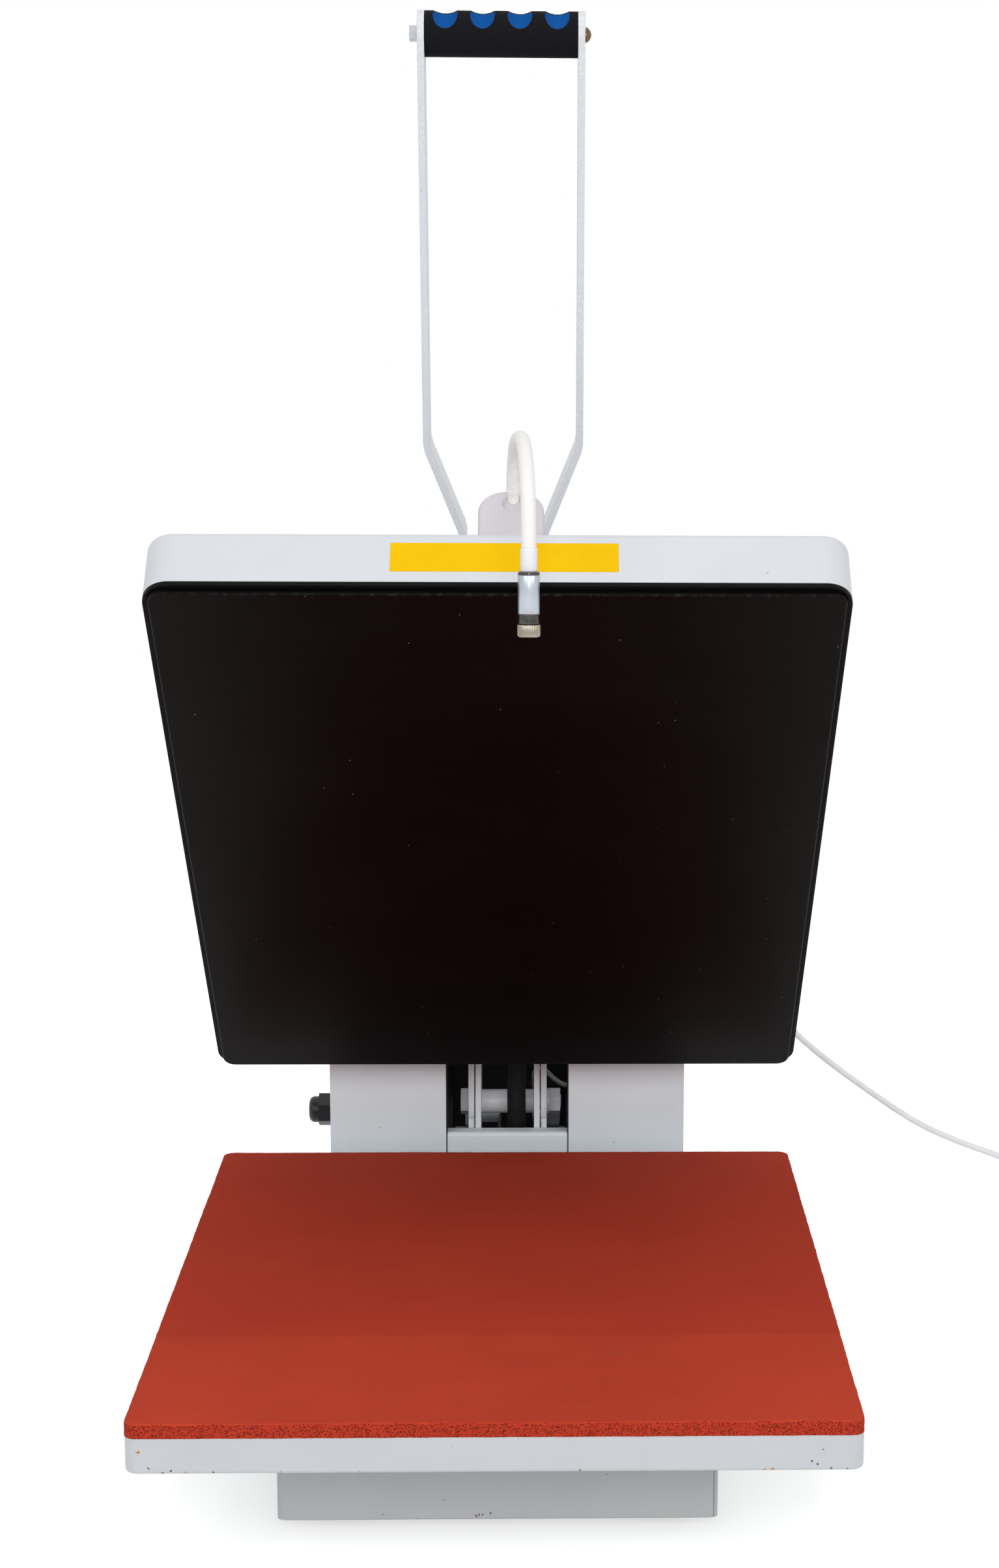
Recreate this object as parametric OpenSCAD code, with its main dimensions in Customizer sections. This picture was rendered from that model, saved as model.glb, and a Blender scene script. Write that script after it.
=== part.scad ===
// Clamshell heat press with a swing-up heated platen, a toggle handle and a pointer lamp on a bendable
// neck. X runs to the operator's right, Y to the back and Z up. The origin is on the floor at the middle
// of the press. The press is drawn open. Pieces of the swinging arm are drawn level, as when the press is
// closed, and then turned up about the main hinge. Side outlines are (forward, up) from that hinge.

/* [Lower platen] */
// Width of the foam pad
pad_w = 400; // [360:5:440]
// Length of the foam pad, front to back
pad_l = 500; // [460:5:540]
// Thickness of the foam pad
pad_t = 8.6; // [6:0.2:14]
// Corner radius of the foam pad
pad_r = 7; // [3:1:12]
// Height of the pad's top above the floor
pad_top = 98; // [94:1:104]
// How far the cast platen stays inside the pad's edge
tray_inset = 0.6; // [0:0.2:4]
// Thickness of the cast lower platen
tray_t = 20.4; // [16:0.2:24]
// Corner radius of the cast lower platen
tray_r = 7.5; // [5:0.5:14]
// Radius round the platen's lower edge
tray_edge = 2; // [1:0.5:4]
// Wall of the casting, which is hollow below
tray_wall = 7; // [6:0.5:10]
// Thickness of the casting's top
tray_top_t = 9; // [7:0.5:11]
// Diameter of the bosses that carry the platen
boss_d = 34; // [28:1:40]
// Distance between the bosses across the press
boss_span_x = 190; // [170:5:200]
// Distance between the bosses along the press
boss_span_y = 280; // [240:10:290]

/* [Base] */
// Width of the folded base
base_w = 250; // [246:1:254]
// Height of the base's walls
base_h = 42; // [38:1:44]
// How far the base's front stands behind the pad's front
base_back = 74; // [60:2:80]
// Thickness of the base's sheet
base_sheet = 2; // [1.5:0.5:3]
// Outer radius of the base's bends
base_bend = 4; // [3.5:0.5:6]
// Height of the rubber feet
foot_h = 8.5; // [6:0.5:12]
// Diameter of the rubber feet
foot_d = 32; // [24:1:36]
// Thickness of the bottom plate
bottom_t = 1.5; // [1:0.5:2.5]

/* [Rear housings] */
// Distance from the pad's back edge to the housings' front
housing_gap = 37.5; // [30:0.5:45]
// How far each housing stands out past the base's side
housing_over = 2.5; // [1:0.5:8]
// Depth of the housings with their rear cover
housing_d = 172.5; // [168:0.5:185]
// Height of the housings' top above the floor
housing_top = 262; // [250:1:280]
// Height at which the housings' slope starts
slope_foot = 190; // [180:1:200]
// Width of the channel between the housings
channel_w = 87; // [86:0.5:92]
// Thickness of the housings' sheet
housing_sheet = 1.5; // [1:0.5:2]
// Height of the channel's front panel above the pad's top
lip_up = 2.5; // [0:0.1:4]
// Radius at the top of the channel's front panel
lip_r = 3; // [2.5:0.5:4]

/* [Main hinge] */
// Distance from the pad's back edge to the hinge axis
hinge_back = 73; // [70:1:78]
// Height of the hinge axis above the pad's top
hinge_up = 16; // [14:0.5:18]
// Diameter of the three pivot bolts
bolt_d = 10; // [8:0.5:12]
// Width across the flats of the bolt heads and nuts
hex_af = 17; // [15:0.5:18]
// Thickness of the bolt heads
head_t = 6; // [4:0.2:7]
// Thickness of the nuts
nut_t = 8; // [5:0.2:9]
// Thickness of the arm and bracket plates
plate_t = 4.2; // [3.5:0.1:4.6]
// Distance between the arm plates
arm_gap = 38.4; // [38:0.2:40]
// Outside diameter of the tube between the arm plates
spacer_d = 17.5; // [15:0.5:18]
// Angle that the arm opens to
open_angle = 47.3; // [46:0.1:48]
// Gap between the arm plates and the brackets
side_gap = 0.8; // [0.5:0.1:1]

/* [Swinging arm] */
// Forward reach of the handle's pivot on the closed arm
pivot_fwd = 200; // [196:1:204]
// Height of the handle's pivot above the main hinge
pivot_up = 66; // [64:1:68]
// Half width of the arm plates at their rear bend
arm_half = 18; // [16:0.5:19]
// Half width of the arm plates at their front end
nose_half = 23; // [21:0.5:23.5]
// Length of the nut block between the arm plates
block_l = 72; // [70:1:76]
// Height of the nut block
block_h = 32; // [28:1:33]

/* [Toggle] */
// Fixed toggle pivot, behind the main hinge
anchor_back = 8; // [6:1:10]
// Fixed toggle pivot, above the main hinge
anchor_up = 142; // [140:1:144]
// Angle that the handle turns as the press closes
handle_turn = 70; // [68:1:72]
// Diameter of the toggle's middle pin
elbow_d = 12; // [10:0.5:13]
// Diameter of the handle's pivot shaft
shaft_d = 16; // [14:0.5:17]

/* [Handle] */
// Width over the two bars at the grip
handle_w = 102; // [96:1:112]
// Thickness of the flat bars
bar_t = 4.3; // [4:0.1:5]
// Width of the flat bars
bar_w = 28; // [24:1:30]
// Distance from the handle's pivot to the grip
handle_l = 560; // [520:5:600]
// How far the bars' straight part stands in front of the pivot
bar_fwd = 24.8; // [20:0.2:28]
// Where the bars start to spread, measured from the pivot
spread_from = 248; // [240:2:256]
// Where the bars run straight again, measured from the pivot
spread_to = 306; // [300:2:320]
// Forward lean of the open handle
handle_lean = 11.4; // [10:0.2:13]
// Diameter of the foam grip
grip_d = 27.5; // [26:0.5:28]
// Thickness of the grip's outer black layer
grip_skin = 1; // [0.8:0.1:1.5]
// Depth of the finger hollows in the grip
hollow_deep = 5; // [4:0.1:5.5]
// Distance between the finger hollows
hollow_pitch = 22.7; // [20:0.1:23]
// Diameter of the bolt through the grip
grip_bolt_d = 5; // [4:0.5:6]

/* [Upper platen] */
// Width of the upper platen's cover
cover_w = 407; // [405:1:411]
// Length of the upper platen's cover
cover_l = 507; // [505:1:511]
// Height from the heater's face to the cover's top
stack_h = 45.5; // [44:0.5:46]
// Corner radius of the cover
cover_r = 16; // [12:1:22]
// Radius of the cover's upper edge
cover_edge = 4.5; // [3:0.5:6]
// Thickness of the cover's sheet
cover_sheet = 1.5; // [1:0.5:2]
// Width of the rim from the cover's side to the heater plate
rim_w = 3.5; // [3:0.1:5]
// Thickness of the heater plate
heater_t = 14; // [12:0.5:16]
// How far the heater's face stands out of the rim
heater_out = 3.5; // [2:0.5:5]
// Height of the black rim round the heater plate
rim_h = 3; // [2:0.5:5]
// Gap between the closed heater and the pad
closed_gap = 1.4; // [1:0.1:3]
// Travel of the pressure setting
pressure_travel = 6; // [3:0.5:6]
// Width of the heating element
element_w = 8; // [6:0.5:9]
// Height of the heating element
element_h = 7; // [5:0.5:8]
// Thickness of the insulation blanket
blanket_t = 19; // [12:1:20]
// Size of the square suspension plate
bridge_w = 120; // [116:1:130]
// Thickness of the suspension plate
bridge_t = 6; // [5:0.5:6.5]
// Diameter of the pressure screw
screw_d = 14; // [12:0.5:15]
// Diameter of the guide rods
rod_d = 9; // [7:0.5:10]
// Distance from the pressure screw to each guide rod
rod_out = 26; // [25:0.5:27]
// Diameter over the pressure knob's lobes
knob_d = 41; // [34:1:42]
// Height of the pressure knob
knob_h = 22; // [18:1:28]

/* [Pointer lamp] */
// Width of the pointer's housing
lamp_base_w = 38.5; // [36:0.5:42]
// Depth of the pointer's housing
lamp_base_l = 33; // [31:0.5:36]
// Height of the pointer's housing
lamp_base_h = 43.5; // [42:0.5:45]
// Distance of the pointer's housing from the middle
lamp_side = 6.8; // [2:0.2:10]
// Diameter of the bendable neck
neck_d = 8.3; // [7.5:0.1:9]
// Diameter of the sleeve where the neck meets the lamp
sleeve_d = 9.4; // [9.2:0.1:10]
// Length of that sleeve
sleeve_l = 12.5; // [10:0.5:16]
// Diameter of the pointer lamp
lamp_d = 12; // [11:0.5:13]
// Length of the pointer lamp without its ring
lamp_l = 28.5; // [26:0.5:34]
// Diameter of the lamp's focus ring
ring_d = 12.8; // [12.2:0.1:14]
// Length of the lamp's focus ring
ring_l = 7; // [5:0.2:9]

/* [Gas strut] */
// Diameter of the strut's cylinder
strut_d = 18; // [15:0.5:18.5]
// Diameter of the strut's rod
strut_rod_d = 8; // [6:0.5:9]
// Fixed strut pivot, behind the main hinge
strut_back = 118; // [116:1:120]
// Fixed strut pivot, below the main hinge
strut_down = 45; // [44:0.5:46]
// Strut pivot on the closed arm, behind the main hinge
tail_back = 20; // [19:0.5:21]
// Strut pivot on the closed arm, below the main hinge
tail_down = 40; // [39:0.5:41]

/* [Controls] */
// Width of the control panel
panel_w = 70; // [68:1:74]
// Length of the control panel
panel_l = 92; // [88:1:98]
// Thickness of the control panel
panel_t = 2.5; // [2:0.5:3.5]
// Diameter of the buttons
button_d = 10; // [8:0.5:11]
// Travel of the buttons
button_travel = 1; // [0.5:0.1:1.2]
// Width of the rocker switch
rocker_w = 13; // [11:0.5:16]
// Radius of the rocker
rocker_r = 10; // [9:0.5:11]
// Tilt of the rocker each side of level
rocker_tilt = 8; // [5:1:10]

/* [Cables] */
// Diameter of the heater's black sleeved cable
cable_d = 13.4; // [11:0.2:13.6]
// Diameter of the grey earth wire
earth_d = 3.6; // [3:0.2:4]
// Diameter of the pointer lamp's white lead
lead_d = 4.6; // [4:0.1:5]
// Width across the flats of the cable gland
gland_af = 21; // [18:0.5:23]

/* [Hidden] */
$fn = 64;
housing_w = base_w + 2 * housing_over;

// Clearances: running fit, loose hole round a screw, and space kept between moving neighbours
fit = 0.05;
loose = 0.4;
space = 0.3;

// Paint and material colours
paint = [0.86, 0.87, 0.88];
steel = [0.72, 0.73, 0.75];
black = [0.07, 0.07, 0.08];
zinc = [0.66, 0.66, 0.62];

// The press from front to back, and the heights of what stands on the base
total_l = pad_l + housing_gap + housing_d;
front_y = -total_l / 2;
back_y = total_l / 2;
pad_y = front_y + pad_l / 2;
housing_front = back_y - housing_d;
hinge_y = front_y + pad_l + hinge_back;
hinge_z = pad_top + hinge_up;
base_front = front_y + base_back;
base_z = foot_h + bottom_t;
base_top = base_z + base_h;
rear_t = 1.5;
rear_y = back_y - rear_t;
tray_top = pad_top - pad_t;
tray_z = tray_top - tray_t;
pocket_r = 12;
foot_x = 95;
foot_front = -240;
foot_rear = 315;

// Layers across the channel, measured from the middle
arm_in = arm_gap / 2;
arm_out = arm_in + plate_t;
bracket_in = arm_out + side_gap;
bracket_out = bracket_in + plate_t;
crank_out = arm_in - loose;
crank_in = crank_out - plate_t;
link_out = crank_in - 2.4;
link_in = link_out - plate_t;
bar_in = arm_out + 0.6;
bar_out = bar_in + bar_t;
grip_half = handle_w / 2 - bar_t;
flange_t = 4;
channel_half = channel_w / 2;
flange_out = channel_half - 1;
m8_af = 13;
m8_head = 5.3;

// Side points as (forward, up) from the main hinge, with the press closed; opened() turns one up
function turned(p, a) = [p[0] * cos(a) - p[1] * sin(a), p[0] * sin(a) + p[1] * cos(a)];
function opened(p) = turned(p, open_angle);
pivot = [pivot_fwd, pivot_up];
anchor = [-anchor_back, anchor_up];
strut_foot = [-strut_back, -strut_down];
tail = [-tail_back, -tail_down];
knee = [46, 66];
nose = [345, 69.5];
screw_fwd = hinge_back + pad_l / 2;
heater_w = cover_w - 2 * rim_w;
heater_l = cover_l - 2 * rim_w;
// The smallest corner that stays clear of the cover's inner corner
heater_r = (sqrt(2) * (cover_r - rim_w) - cover_r + cover_sheet + space) / (sqrt(2) - 1);
blanket_in = 10;
face_z = closed_gap - hinge_up;
cover_z = face_z + stack_h;
block_z = 56;
spacer_at = [250, 69.5];

// Crank and link lie in line when the press is closed. The crank's length follows from that span and
// from the same two lengths also meeting when the press is open.
span = norm(anchor - pivot);
crank_dir = atan2(anchor[1] - pivot[1], anchor[0] - pivot[0]) + handle_turn;
to_pivot = opened(pivot) - anchor;
along_crank = to_pivot * [cos(crank_dir), sin(crank_dir)];
crank_l = (span * span - to_pivot * to_pivot) / (2 * (along_crank + span));
elbow = opened(pivot) + crank_l * [cos(crank_dir), sin(crank_dir)];

// The strut, from its fixed eye to its eye on the open arm
tail_open = opened(tail);
strut_l = norm(tail_open - strut_foot);
strut_rise = atan2(tail_open[1] - strut_foot[1], tail_open[0] - strut_foot[0]);
strut_body_l = 72;
strut_rod_l = 82;

// The band between two circles, a hair inside the lines that touch both, so that its sides cross them
module band(p, rp, q, rq) {
    a = atan2(q[1] - p[1], q[0] - p[0]);
    b = acos((rp - rq) / norm(q - p));
    top = [cos(a + b), sin(a + b)];
    low = [cos(a - b), sin(a - b)];
    hair = 0.01;
    polygon([p + (rp - hair) * top, p + (rp - hair) * low,
        q + (rq - hair) * low, q + (rq - hair) * top]);
}

// Two circles and the band between them, for levers and lugs
module strap(p, rp, q, rq) {
    translate(p) circle(rp);
    translate(q) circle(rq);
    band(p, rp, q, rq);
}

// A side outline made into a plate from x0 to x0 + t
module side_plate(x0, t) {
    translate([x0 + t, 0, 0]) rotate([90, 0, -90]) linear_extrude(t) children();
}

// A round bar along X at a side point
module cross_bar(p, r, x0, x1) {
    translate([x0, -p[0], p[1]]) rotate([0, 90, 0]) cylinder(h = x1 - x0, r = r);
}

// A hexagon along X at a side point
module cross_hex(p, af, x0, x1) {
    translate([x0, -p[0], p[1]]) rotate([0, 90, 0]) cylinder(h = x1 - x0, r = af / sqrt(3), $fn = 6);
}

// A square from one corner to the opposite one, with round corners
module round_square(a, b, r) {
    translate(a + [r, 0]) square([b[0] - a[0] - 2 * r, b[1] - a[1]]);
    translate(a + [0, r]) square([b[0] - a[0], b[1] - a[1] - 2 * r]);
    for (x = [a[0] + r, b[0] - r], y = [a[1] + r, b[1] - r]) translate([x, y]) circle(r);
}

module rounded_rect(w, l, r) {
    round_square([-w / 2, -l / 2], [w / 2, l / 2], r);
}

// The section of a slab whose two lower edges are rounded with radius e
module slab_section(w, h, e) {
    translate([-w / 2, e]) square([w, h - e]);
    translate([e - w / 2, 0]) square([w - 2 * e, h]);
    for (x = [e - w / 2, w / 2 - e]) translate([x, e]) circle(e);
}

// A slab with upright corners of radius r and a lower edge of radius e
module soft_slab(w, l, h, r, e) {
    translate([r - w / 2, 0, 0]) rotate([90, 0, 90]) linear_extrude(w - 2 * r) slab_section(l, h, e);
    translate([0, l / 2 - r, 0]) rotate([90, 0, 0]) linear_extrude(l - 2 * r) slab_section(w, h, e);
    for (x = [r - w / 2, w / 2 - r], y = [r - l / 2, l / 2 - r]) translate([x, y, 0]) rotate_extrude()
        intersection() {
            slab_section(2 * r, h, e);
            square([r, h]);
        }
}

// Two bodies, one on each side
module both_sides() {
    children();
    mirror([1, 0, 0]) children();
}

// Frames that pieces are drawn in
module at_hinge() {
    translate([0, hinge_y, hinge_z]) children();
}

module at_arm() {
    at_hinge() rotate([-open_angle, 0, 0]) children();
}

module at_platen() {
    at_arm() translate([0, -screw_fwd, face_z]) children();
}

module at_handle() {
    at_arm() translate([0, -pivot[0], pivot[1]]) rotate([open_angle + handle_lean, 0, 0]) children();
}

module at_strut() {
    at_hinge() translate([0, -strut_foot[0], strut_foot[1]]) rotate([-strut_rise, 0, 0]) children();
}

// A smooth curve through the given points, with n steps between neighbours
function curve(p, n) = concat([for (i = [0:len(p) - 2], k = [0:n - 1])
    let (t = k / n, a = p[max(i - 1, 0)], b = p[i], c = p[i + 1], d = p[min(i + 2, len(p) - 1)])
    0.5 * (2 * b + (c - a) * t + (2 * a - 5 * b + 4 * c - d) * t * t
        + (3 * b - a - 3 * c + d) * t * t * t)], [p[len(p) - 1]]);

function unit(v) = v / norm(v);

// A round tube along the points, made of rings joined by triangles
module tube_along(p, r, sides) {
    n = len(p);
    along = [for (i = [0:n - 1]) unit(p[min(i + 1, n - 1)] - p[max(i - 1, 0)])];
    first = unit(cross(along[0], abs(along[0][2]) < 0.9 ? [0, 0, 1] : [1, 0, 0]));
    side = [for (i = 0, s = first; i < n; i = i + 1,
        s = unit(s - (s * along[min(i, n - 1)]) * along[min(i, n - 1)])) s];
    rings = [for (i = [0:n - 1], k = [0:sides - 1])
        p[i] + r * (side[i] * cos(360 * k / sides) + cross(along[i], side[i]) * sin(360 * k / sides))];
    last = (n - 1) * sides;
    polyhedron(
        points = concat(rings, [p[0], p[n - 1]]),
        faces = concat(
            [for (i = [0:n - 2], k = [0:sides - 1])
                [i * sides + k, (i + 1) * sides + k, (i + 1) * sides + (k + 1) % sides]],
            [for (i = [0:n - 2], k = [0:sides - 1])
                [i * sides + k, (i + 1) * sides + (k + 1) % sides, i * sides + (k + 1) % sides]],
            [for (k = [0:sides - 1]) [n * sides, k, (k + 1) % sides]],
            [for (k = [0:sides - 1]) [n * sides + 1, last + (k + 1) % sides, last + k]]));
}

// The base and what it carries
module base_form(i) {
    r = base_bend - i;
    intersection() {
        translate([0, 0, base_z + i]) linear_extrude(base_h - 2 * i)
            round_square([i - base_w / 2, base_front + i], [base_w / 2 - i, back_y + 10], r);
        translate([0, rear_y - i, 0]) rotate([90, 0, 0]) linear_extrude(rear_y - base_front)
            round_square([i - base_w / 2, 0], [base_w / 2 - i, base_top - i], r);
        translate([base_w / 2, 0, 0]) rotate([90, 0, -90]) linear_extrude(base_w)
            round_square([-back_y - 10, 0], [-base_front - i, base_top - i], r);
    }
}

module boss_places() {
    for (x = [-1, 1], y = [-1, 1])
        translate([x * boss_span_x / 2, pad_y + y * boss_span_y / 2, 0]) children();
}

module flange_places() {
    for (x = [-1, 1], u = [10, -42, -94])
        translate([x * (bracket_out + flange_out) / 2, hinge_y - u, 0]) children();
}

module base_chassis() {
    color(paint) difference() {
        base_form(0);
        base_form(base_sheet);
        translate([-base_w / 2 + 17, base_front + 17, base_z - 1])
            cube([base_w - 34, rear_y - base_front - 34, 5]);
        boss_places() cylinder(h = base_top + 10, r = 4.2);
        flange_places() cylinder(h = base_top + 10, r = 4.2);
    }
}

module bottom_plate() {
    color(steel) translate([0, (base_front + rear_y) / 2, foot_h])
        linear_extrude(bottom_t) rounded_rect(base_w - 6, rear_y - base_front - 6, 3);
}

module rubber_feet() {
    color(black) for (x = [-foot_x, foot_x], y = [foot_front, foot_rear]) translate([x, y, 0])
        rotate_extrude() polygon([[0, 0], [foot_d / 2 - 1.5, 0], [foot_d / 2 - 1, 1],
            [foot_d / 2, foot_h - 1.5], [foot_d / 2, foot_h], [0, foot_h]]);
}

module lower_platen() {
    color(paint) difference() {
        union() {
            translate([0, pad_y, tray_z])
                soft_slab(pad_w - 2 * tray_inset, pad_l - 2 * tray_inset, tray_t, tray_r, tray_edge);
            boss_places() translate([0, 0, base_top]) cylinder(h = tray_z - base_top + 1, d = boss_d);
        }
        difference() {
            translate([0, pad_y, tray_z - 1]) linear_extrude(tray_t - tray_top_t + 1)
                rounded_rect(pad_w - 2 * tray_inset - 2 * tray_wall, pad_l - 2 * tray_inset - 2 * tray_wall,
                    pocket_r);
            boss_places() cylinder(h = pad_top, d = boss_d);
        }
        boss_places() translate([0, 0, base_top - 1]) cylinder(h = 15.5, r = 4 + fit);
    }
}

module silicone_pad() {
    color([0.69, 0.26, 0.19]) translate([0, pad_y, tray_top])
        linear_extrude(pad_t) rounded_rect(pad_w, pad_l, pad_r);
}

// Bolts up into the platen's bosses, and bolts with nuts through the brackets' flanges
module frame_bolts() {
    under = base_top - base_sheet;
    color(zinc) {
        boss_places() {
            translate([0, 0, under - m8_head]) cylinder(h = m8_head, r = m8_af / sqrt(3), $fn = 6);
            translate([0, 0, under - 1]) cylinder(h = base_sheet + 15, r = 4);
        }
        flange_places() rotate([0, 0, 30]) {
            translate([0, 0, base_top + flange_t]) cylinder(h = m8_head, r = m8_af / sqrt(3), $fn = 6);
            translate([0, 0, under - 8]) cylinder(h = base_sheet + flange_t + 9, r = 4);
            translate([0, 0, under - 6.5]) cylinder(h = 6.5, r = m8_af / sqrt(3), $fn = 6);
        }
    }
}

// The housings: a side outline with a slope at its upper front, narrower at the foot
slope_in = 31.5;
slope_run = 76;
housing_side = [[-housing_front, base_top], [-housing_front, slope_foot - 28],
    [-housing_front - slope_in, slope_foot], [-housing_front - slope_in - slope_run, housing_top],
    [-rear_y - 10, housing_top], [-rear_y - 10, base_top]];
slope_angle = atan2(housing_top - slope_foot, slope_run);
slope_mid = [housing_w / 4 + channel_half / 2, housing_front + slope_in + slope_run / 2,
    (housing_top + slope_foot) / 2];
step_z = 82;

// A closed outline moved inwards by d, for points that run anticlockwise
function moved_in(p, d) = [for (i = [0:len(p) - 1])
    let (a = p[(i + len(p) - 1) % len(p)], b = p[i], c = p[(i + 1) % len(p)],
        m = [-unit(b - a)[1], unit(b - a)[0]], n = [-unit(c - b)[1], unit(c - b)[0]])
    b + d * (m + n) / (1 + m * n)];

module housing_form(i) {
    foot = base_w / 2 - i;
    out = housing_w / 2 - i;
    intersection() {
        side_plate(channel_half + i, out - channel_half) polygon(moved_in(housing_side, i));
        translate([0, rear_y + (i > 0 ? 5 : 0), 0]) rotate([90, 0, 0]) linear_extrude(housing_d + 10)
            polygon(concat([[channel_half + i, 0], [foot, 0]],
                [for (a = [0:15:90]) [foot + (out - foot) * sin(a), step_z + i + 6 * (1 - cos(a))]],
                [[out, 300], [channel_half + i, 300]]));
    }
}

module housing() {
    difference() {
        housing_form(0);
        housing_form(housing_sheet);
    }
}

module left_housing() {
    color(paint) difference() {
        mirror([1, 0, 0]) housing();
        translate([-housing_w / 2 - 5, 215, 109]) rotate([0, 90, 0]) cylinder(h = 10, r = 8 + fit);
    }
}

module right_housing() {
    color(paint) difference() {
        housing();
        at_panel() translate([0, 0, -5]) linear_extrude(6) rounded_rect(panel_w - 8, panel_l - 8, 2);
        cross_at(channel_half - 5, cable_in, cable_d / 2 + 0.4, 10);
        cross_at(channel_half - 5, earth_in, earth_d / 2 + 0.4, 10);
        cross_at(housing_w / 2 - 5, lead_out, 4.8 + fit, 10);
    }
}

// A bore of radius r and length l along X, at a point (y, z)
module cross_at(x, p, r, l) {
    translate([x, p[0], p[1]]) rotate([0, 90, 0]) cylinder(h = l, r = r);
}

module channel_panel() {
    top = pad_top + lip_up;
    color(paint) difference() {
        side_plate(-channel_half, channel_w) {
            translate([-housing_front - 12, base_top]) square([12 - lip_r, top - base_top]);
            translate([-housing_front - lip_r - 1, base_top]) square([lip_r + 1, top - base_top - lip_r]);
            translate([-housing_front - lip_r, top - lip_r]) circle(lip_r);
        }
        side_plate(-channel_half - 1, channel_w + 2) {
            translate([-housing_front - 20, base_top - 1])
                square([20 - lip_r, top - base_top - 1]);
            translate([-housing_front - lip_r - 1, base_top - 1])
                square([lip_r - 1, top - base_top + 1 - lip_r]);
            translate([-housing_front - lip_r, top - lip_r]) circle(lip_r - 2);
        }
    }
}

module rear_cover() {
    color(paint) translate([0, back_y, 0]) rotate([90, 0, 0]) linear_extrude(rear_t) difference() {
        translate([-housing_w / 2 + 2.5, base_top + 1]) square([housing_w - 5, housing_top - base_top - 2]);
        for (x = [-86, 86], z = [150:12:222]) translate([x, z]) rounded_rect(50, 4, 1.9);
    }
}

// Hinge brackets, their bolts and nuts
module bracket_outline() {
    difference() {
        union() {
            translate([-132, base_top - hinge_z]) square([164, 18]);
            polygon([[32, base_top - hinge_z], [18, -8], [-26, -8], [-60, base_top - hinge_z]]);
            strap([0, 0], 20, anchor, 18);
            translate(strut_foot) circle(12);
        }
        for (p = [[0, 0], anchor, strut_foot]) translate(p) circle(bolt_d / 2 + fit);
    }
}

module hinge_bracket() {
    color(paint) difference() {
        union() {
            at_hinge() side_plate(bracket_in, plate_t) bracket_outline();
            translate([bracket_out - 1, hinge_y - 32, base_top])
                cube([flange_out - bracket_out + 1, 164, flange_t]);
        }
        flange_places() cylinder(h = base_top + 10, r = 4.2);
    }
}

module hinge_bracket_left() {
    mirror([1, 0, 0]) hinge_bracket();
}

module hinge_bracket_right() {
    hinge_bracket();
}

washer_t = 2;
module pivot_bolts() {
    color(zinc) at_hinge() for (p = [[0, 0], anchor, strut_foot]) {
        cross_hex(p, hex_af, -bracket_out - head_t, -bracket_out);
        cross_bar(p, bolt_d / 2, -bracket_out - 1, bracket_out + washer_t + nut_t + 0.6);
    }
}

module pivot_nuts() {
    color(zinc) at_hinge() for (p = [[0, 0], anchor, strut_foot]) difference() {
        union() {
            cross_bar(p, hex_af / 2 + 1, bracket_out, bracket_out + washer_t);
            cross_hex(p, hex_af, bracket_out + washer_t, bracket_out + washer_t + nut_t);
        }
        cross_bar(p, bolt_d / 2 + fit, bracket_out - 1, bracket_out + 20);
    }
}

// Controls on the right housing's slope
module at_panel() {
    translate(slope_mid) rotate([slope_angle, 0, 0]) children();
}

window_y = 26;
button_y = -1;
rocker_y = -28;
rocker_up = -1.6;
rocker_pin = 1.2;
case_wall = 2.5;
board_z = -8;

module control_panel() {
    color(black) at_panel() difference() {
        linear_extrude(panel_t) rounded_rect(panel_w, panel_l, 4);
        translate([0, window_y, panel_t - 1]) linear_extrude(2) rounded_rect(52 + 2 * fit, 20 + 2 * fit, 2);
        translate([0, window_y, -1]) linear_extrude(5) rounded_rect(46, 14, 1);
        for (x = [-20, 0, 20]) translate([x, button_y, -1]) cylinder(h = 5, d = button_d + 2 * fit);
        translate([-rocker_w / 2 - space, rocker_y - rocker_r - space, -1])
            cube([rocker_w + 2 * space, 2 * rocker_r + 2 * space, 5]);
    }
}

module display_window() {
    color([0.05, 0.05, 0.06]) at_panel() translate([0, window_y, panel_t - 1])
        linear_extrude(1) rounded_rect(52, 20, 2);
}

module push_button(x) {
    at_panel() translate([x, button_y, 0]) {
        translate([0, 0, -1.6]) cylinder(h = 1.3, d = button_d + 2.4);
        translate([0, 0, -1.6]) cylinder(h = panel_t + 3, d = button_d);
        translate([0, 0, -4]) cylinder(h = 3, r = 2);
    }
}

module button_set() {
    color([0.75, 0.12, 0.1]) push_button(-20);
}

module button_up() {
    color([0.15, 0.45, 0.2]) push_button(0);
}

module button_down() {
    color([0.15, 0.45, 0.2]) push_button(20);
}

// The rocker turns on two short pins in its case
module power_rocker() {
    color([0.7, 0.06, 0.05]) at_panel() translate([0, rocker_y, rocker_up]) rotate([-rocker_tilt, 0, 0]) {
        translate([-rocker_w / 2, 0, 0]) rotate([90, 0, 90]) linear_extrude(rocker_w) intersection() {
            circle(rocker_r);
            polygon([[-rocker_r, -4], [rocker_r, -4], [rocker_r, 5.7], [0, 4.6], [-rocker_r, 5.7]]);
        }
        translate([-rocker_w / 2 - 1.5, 0, 0]) rotate([0, 90, 0]) cylinder(h = rocker_w + 3, r = rocker_pin);
    }
}

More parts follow.
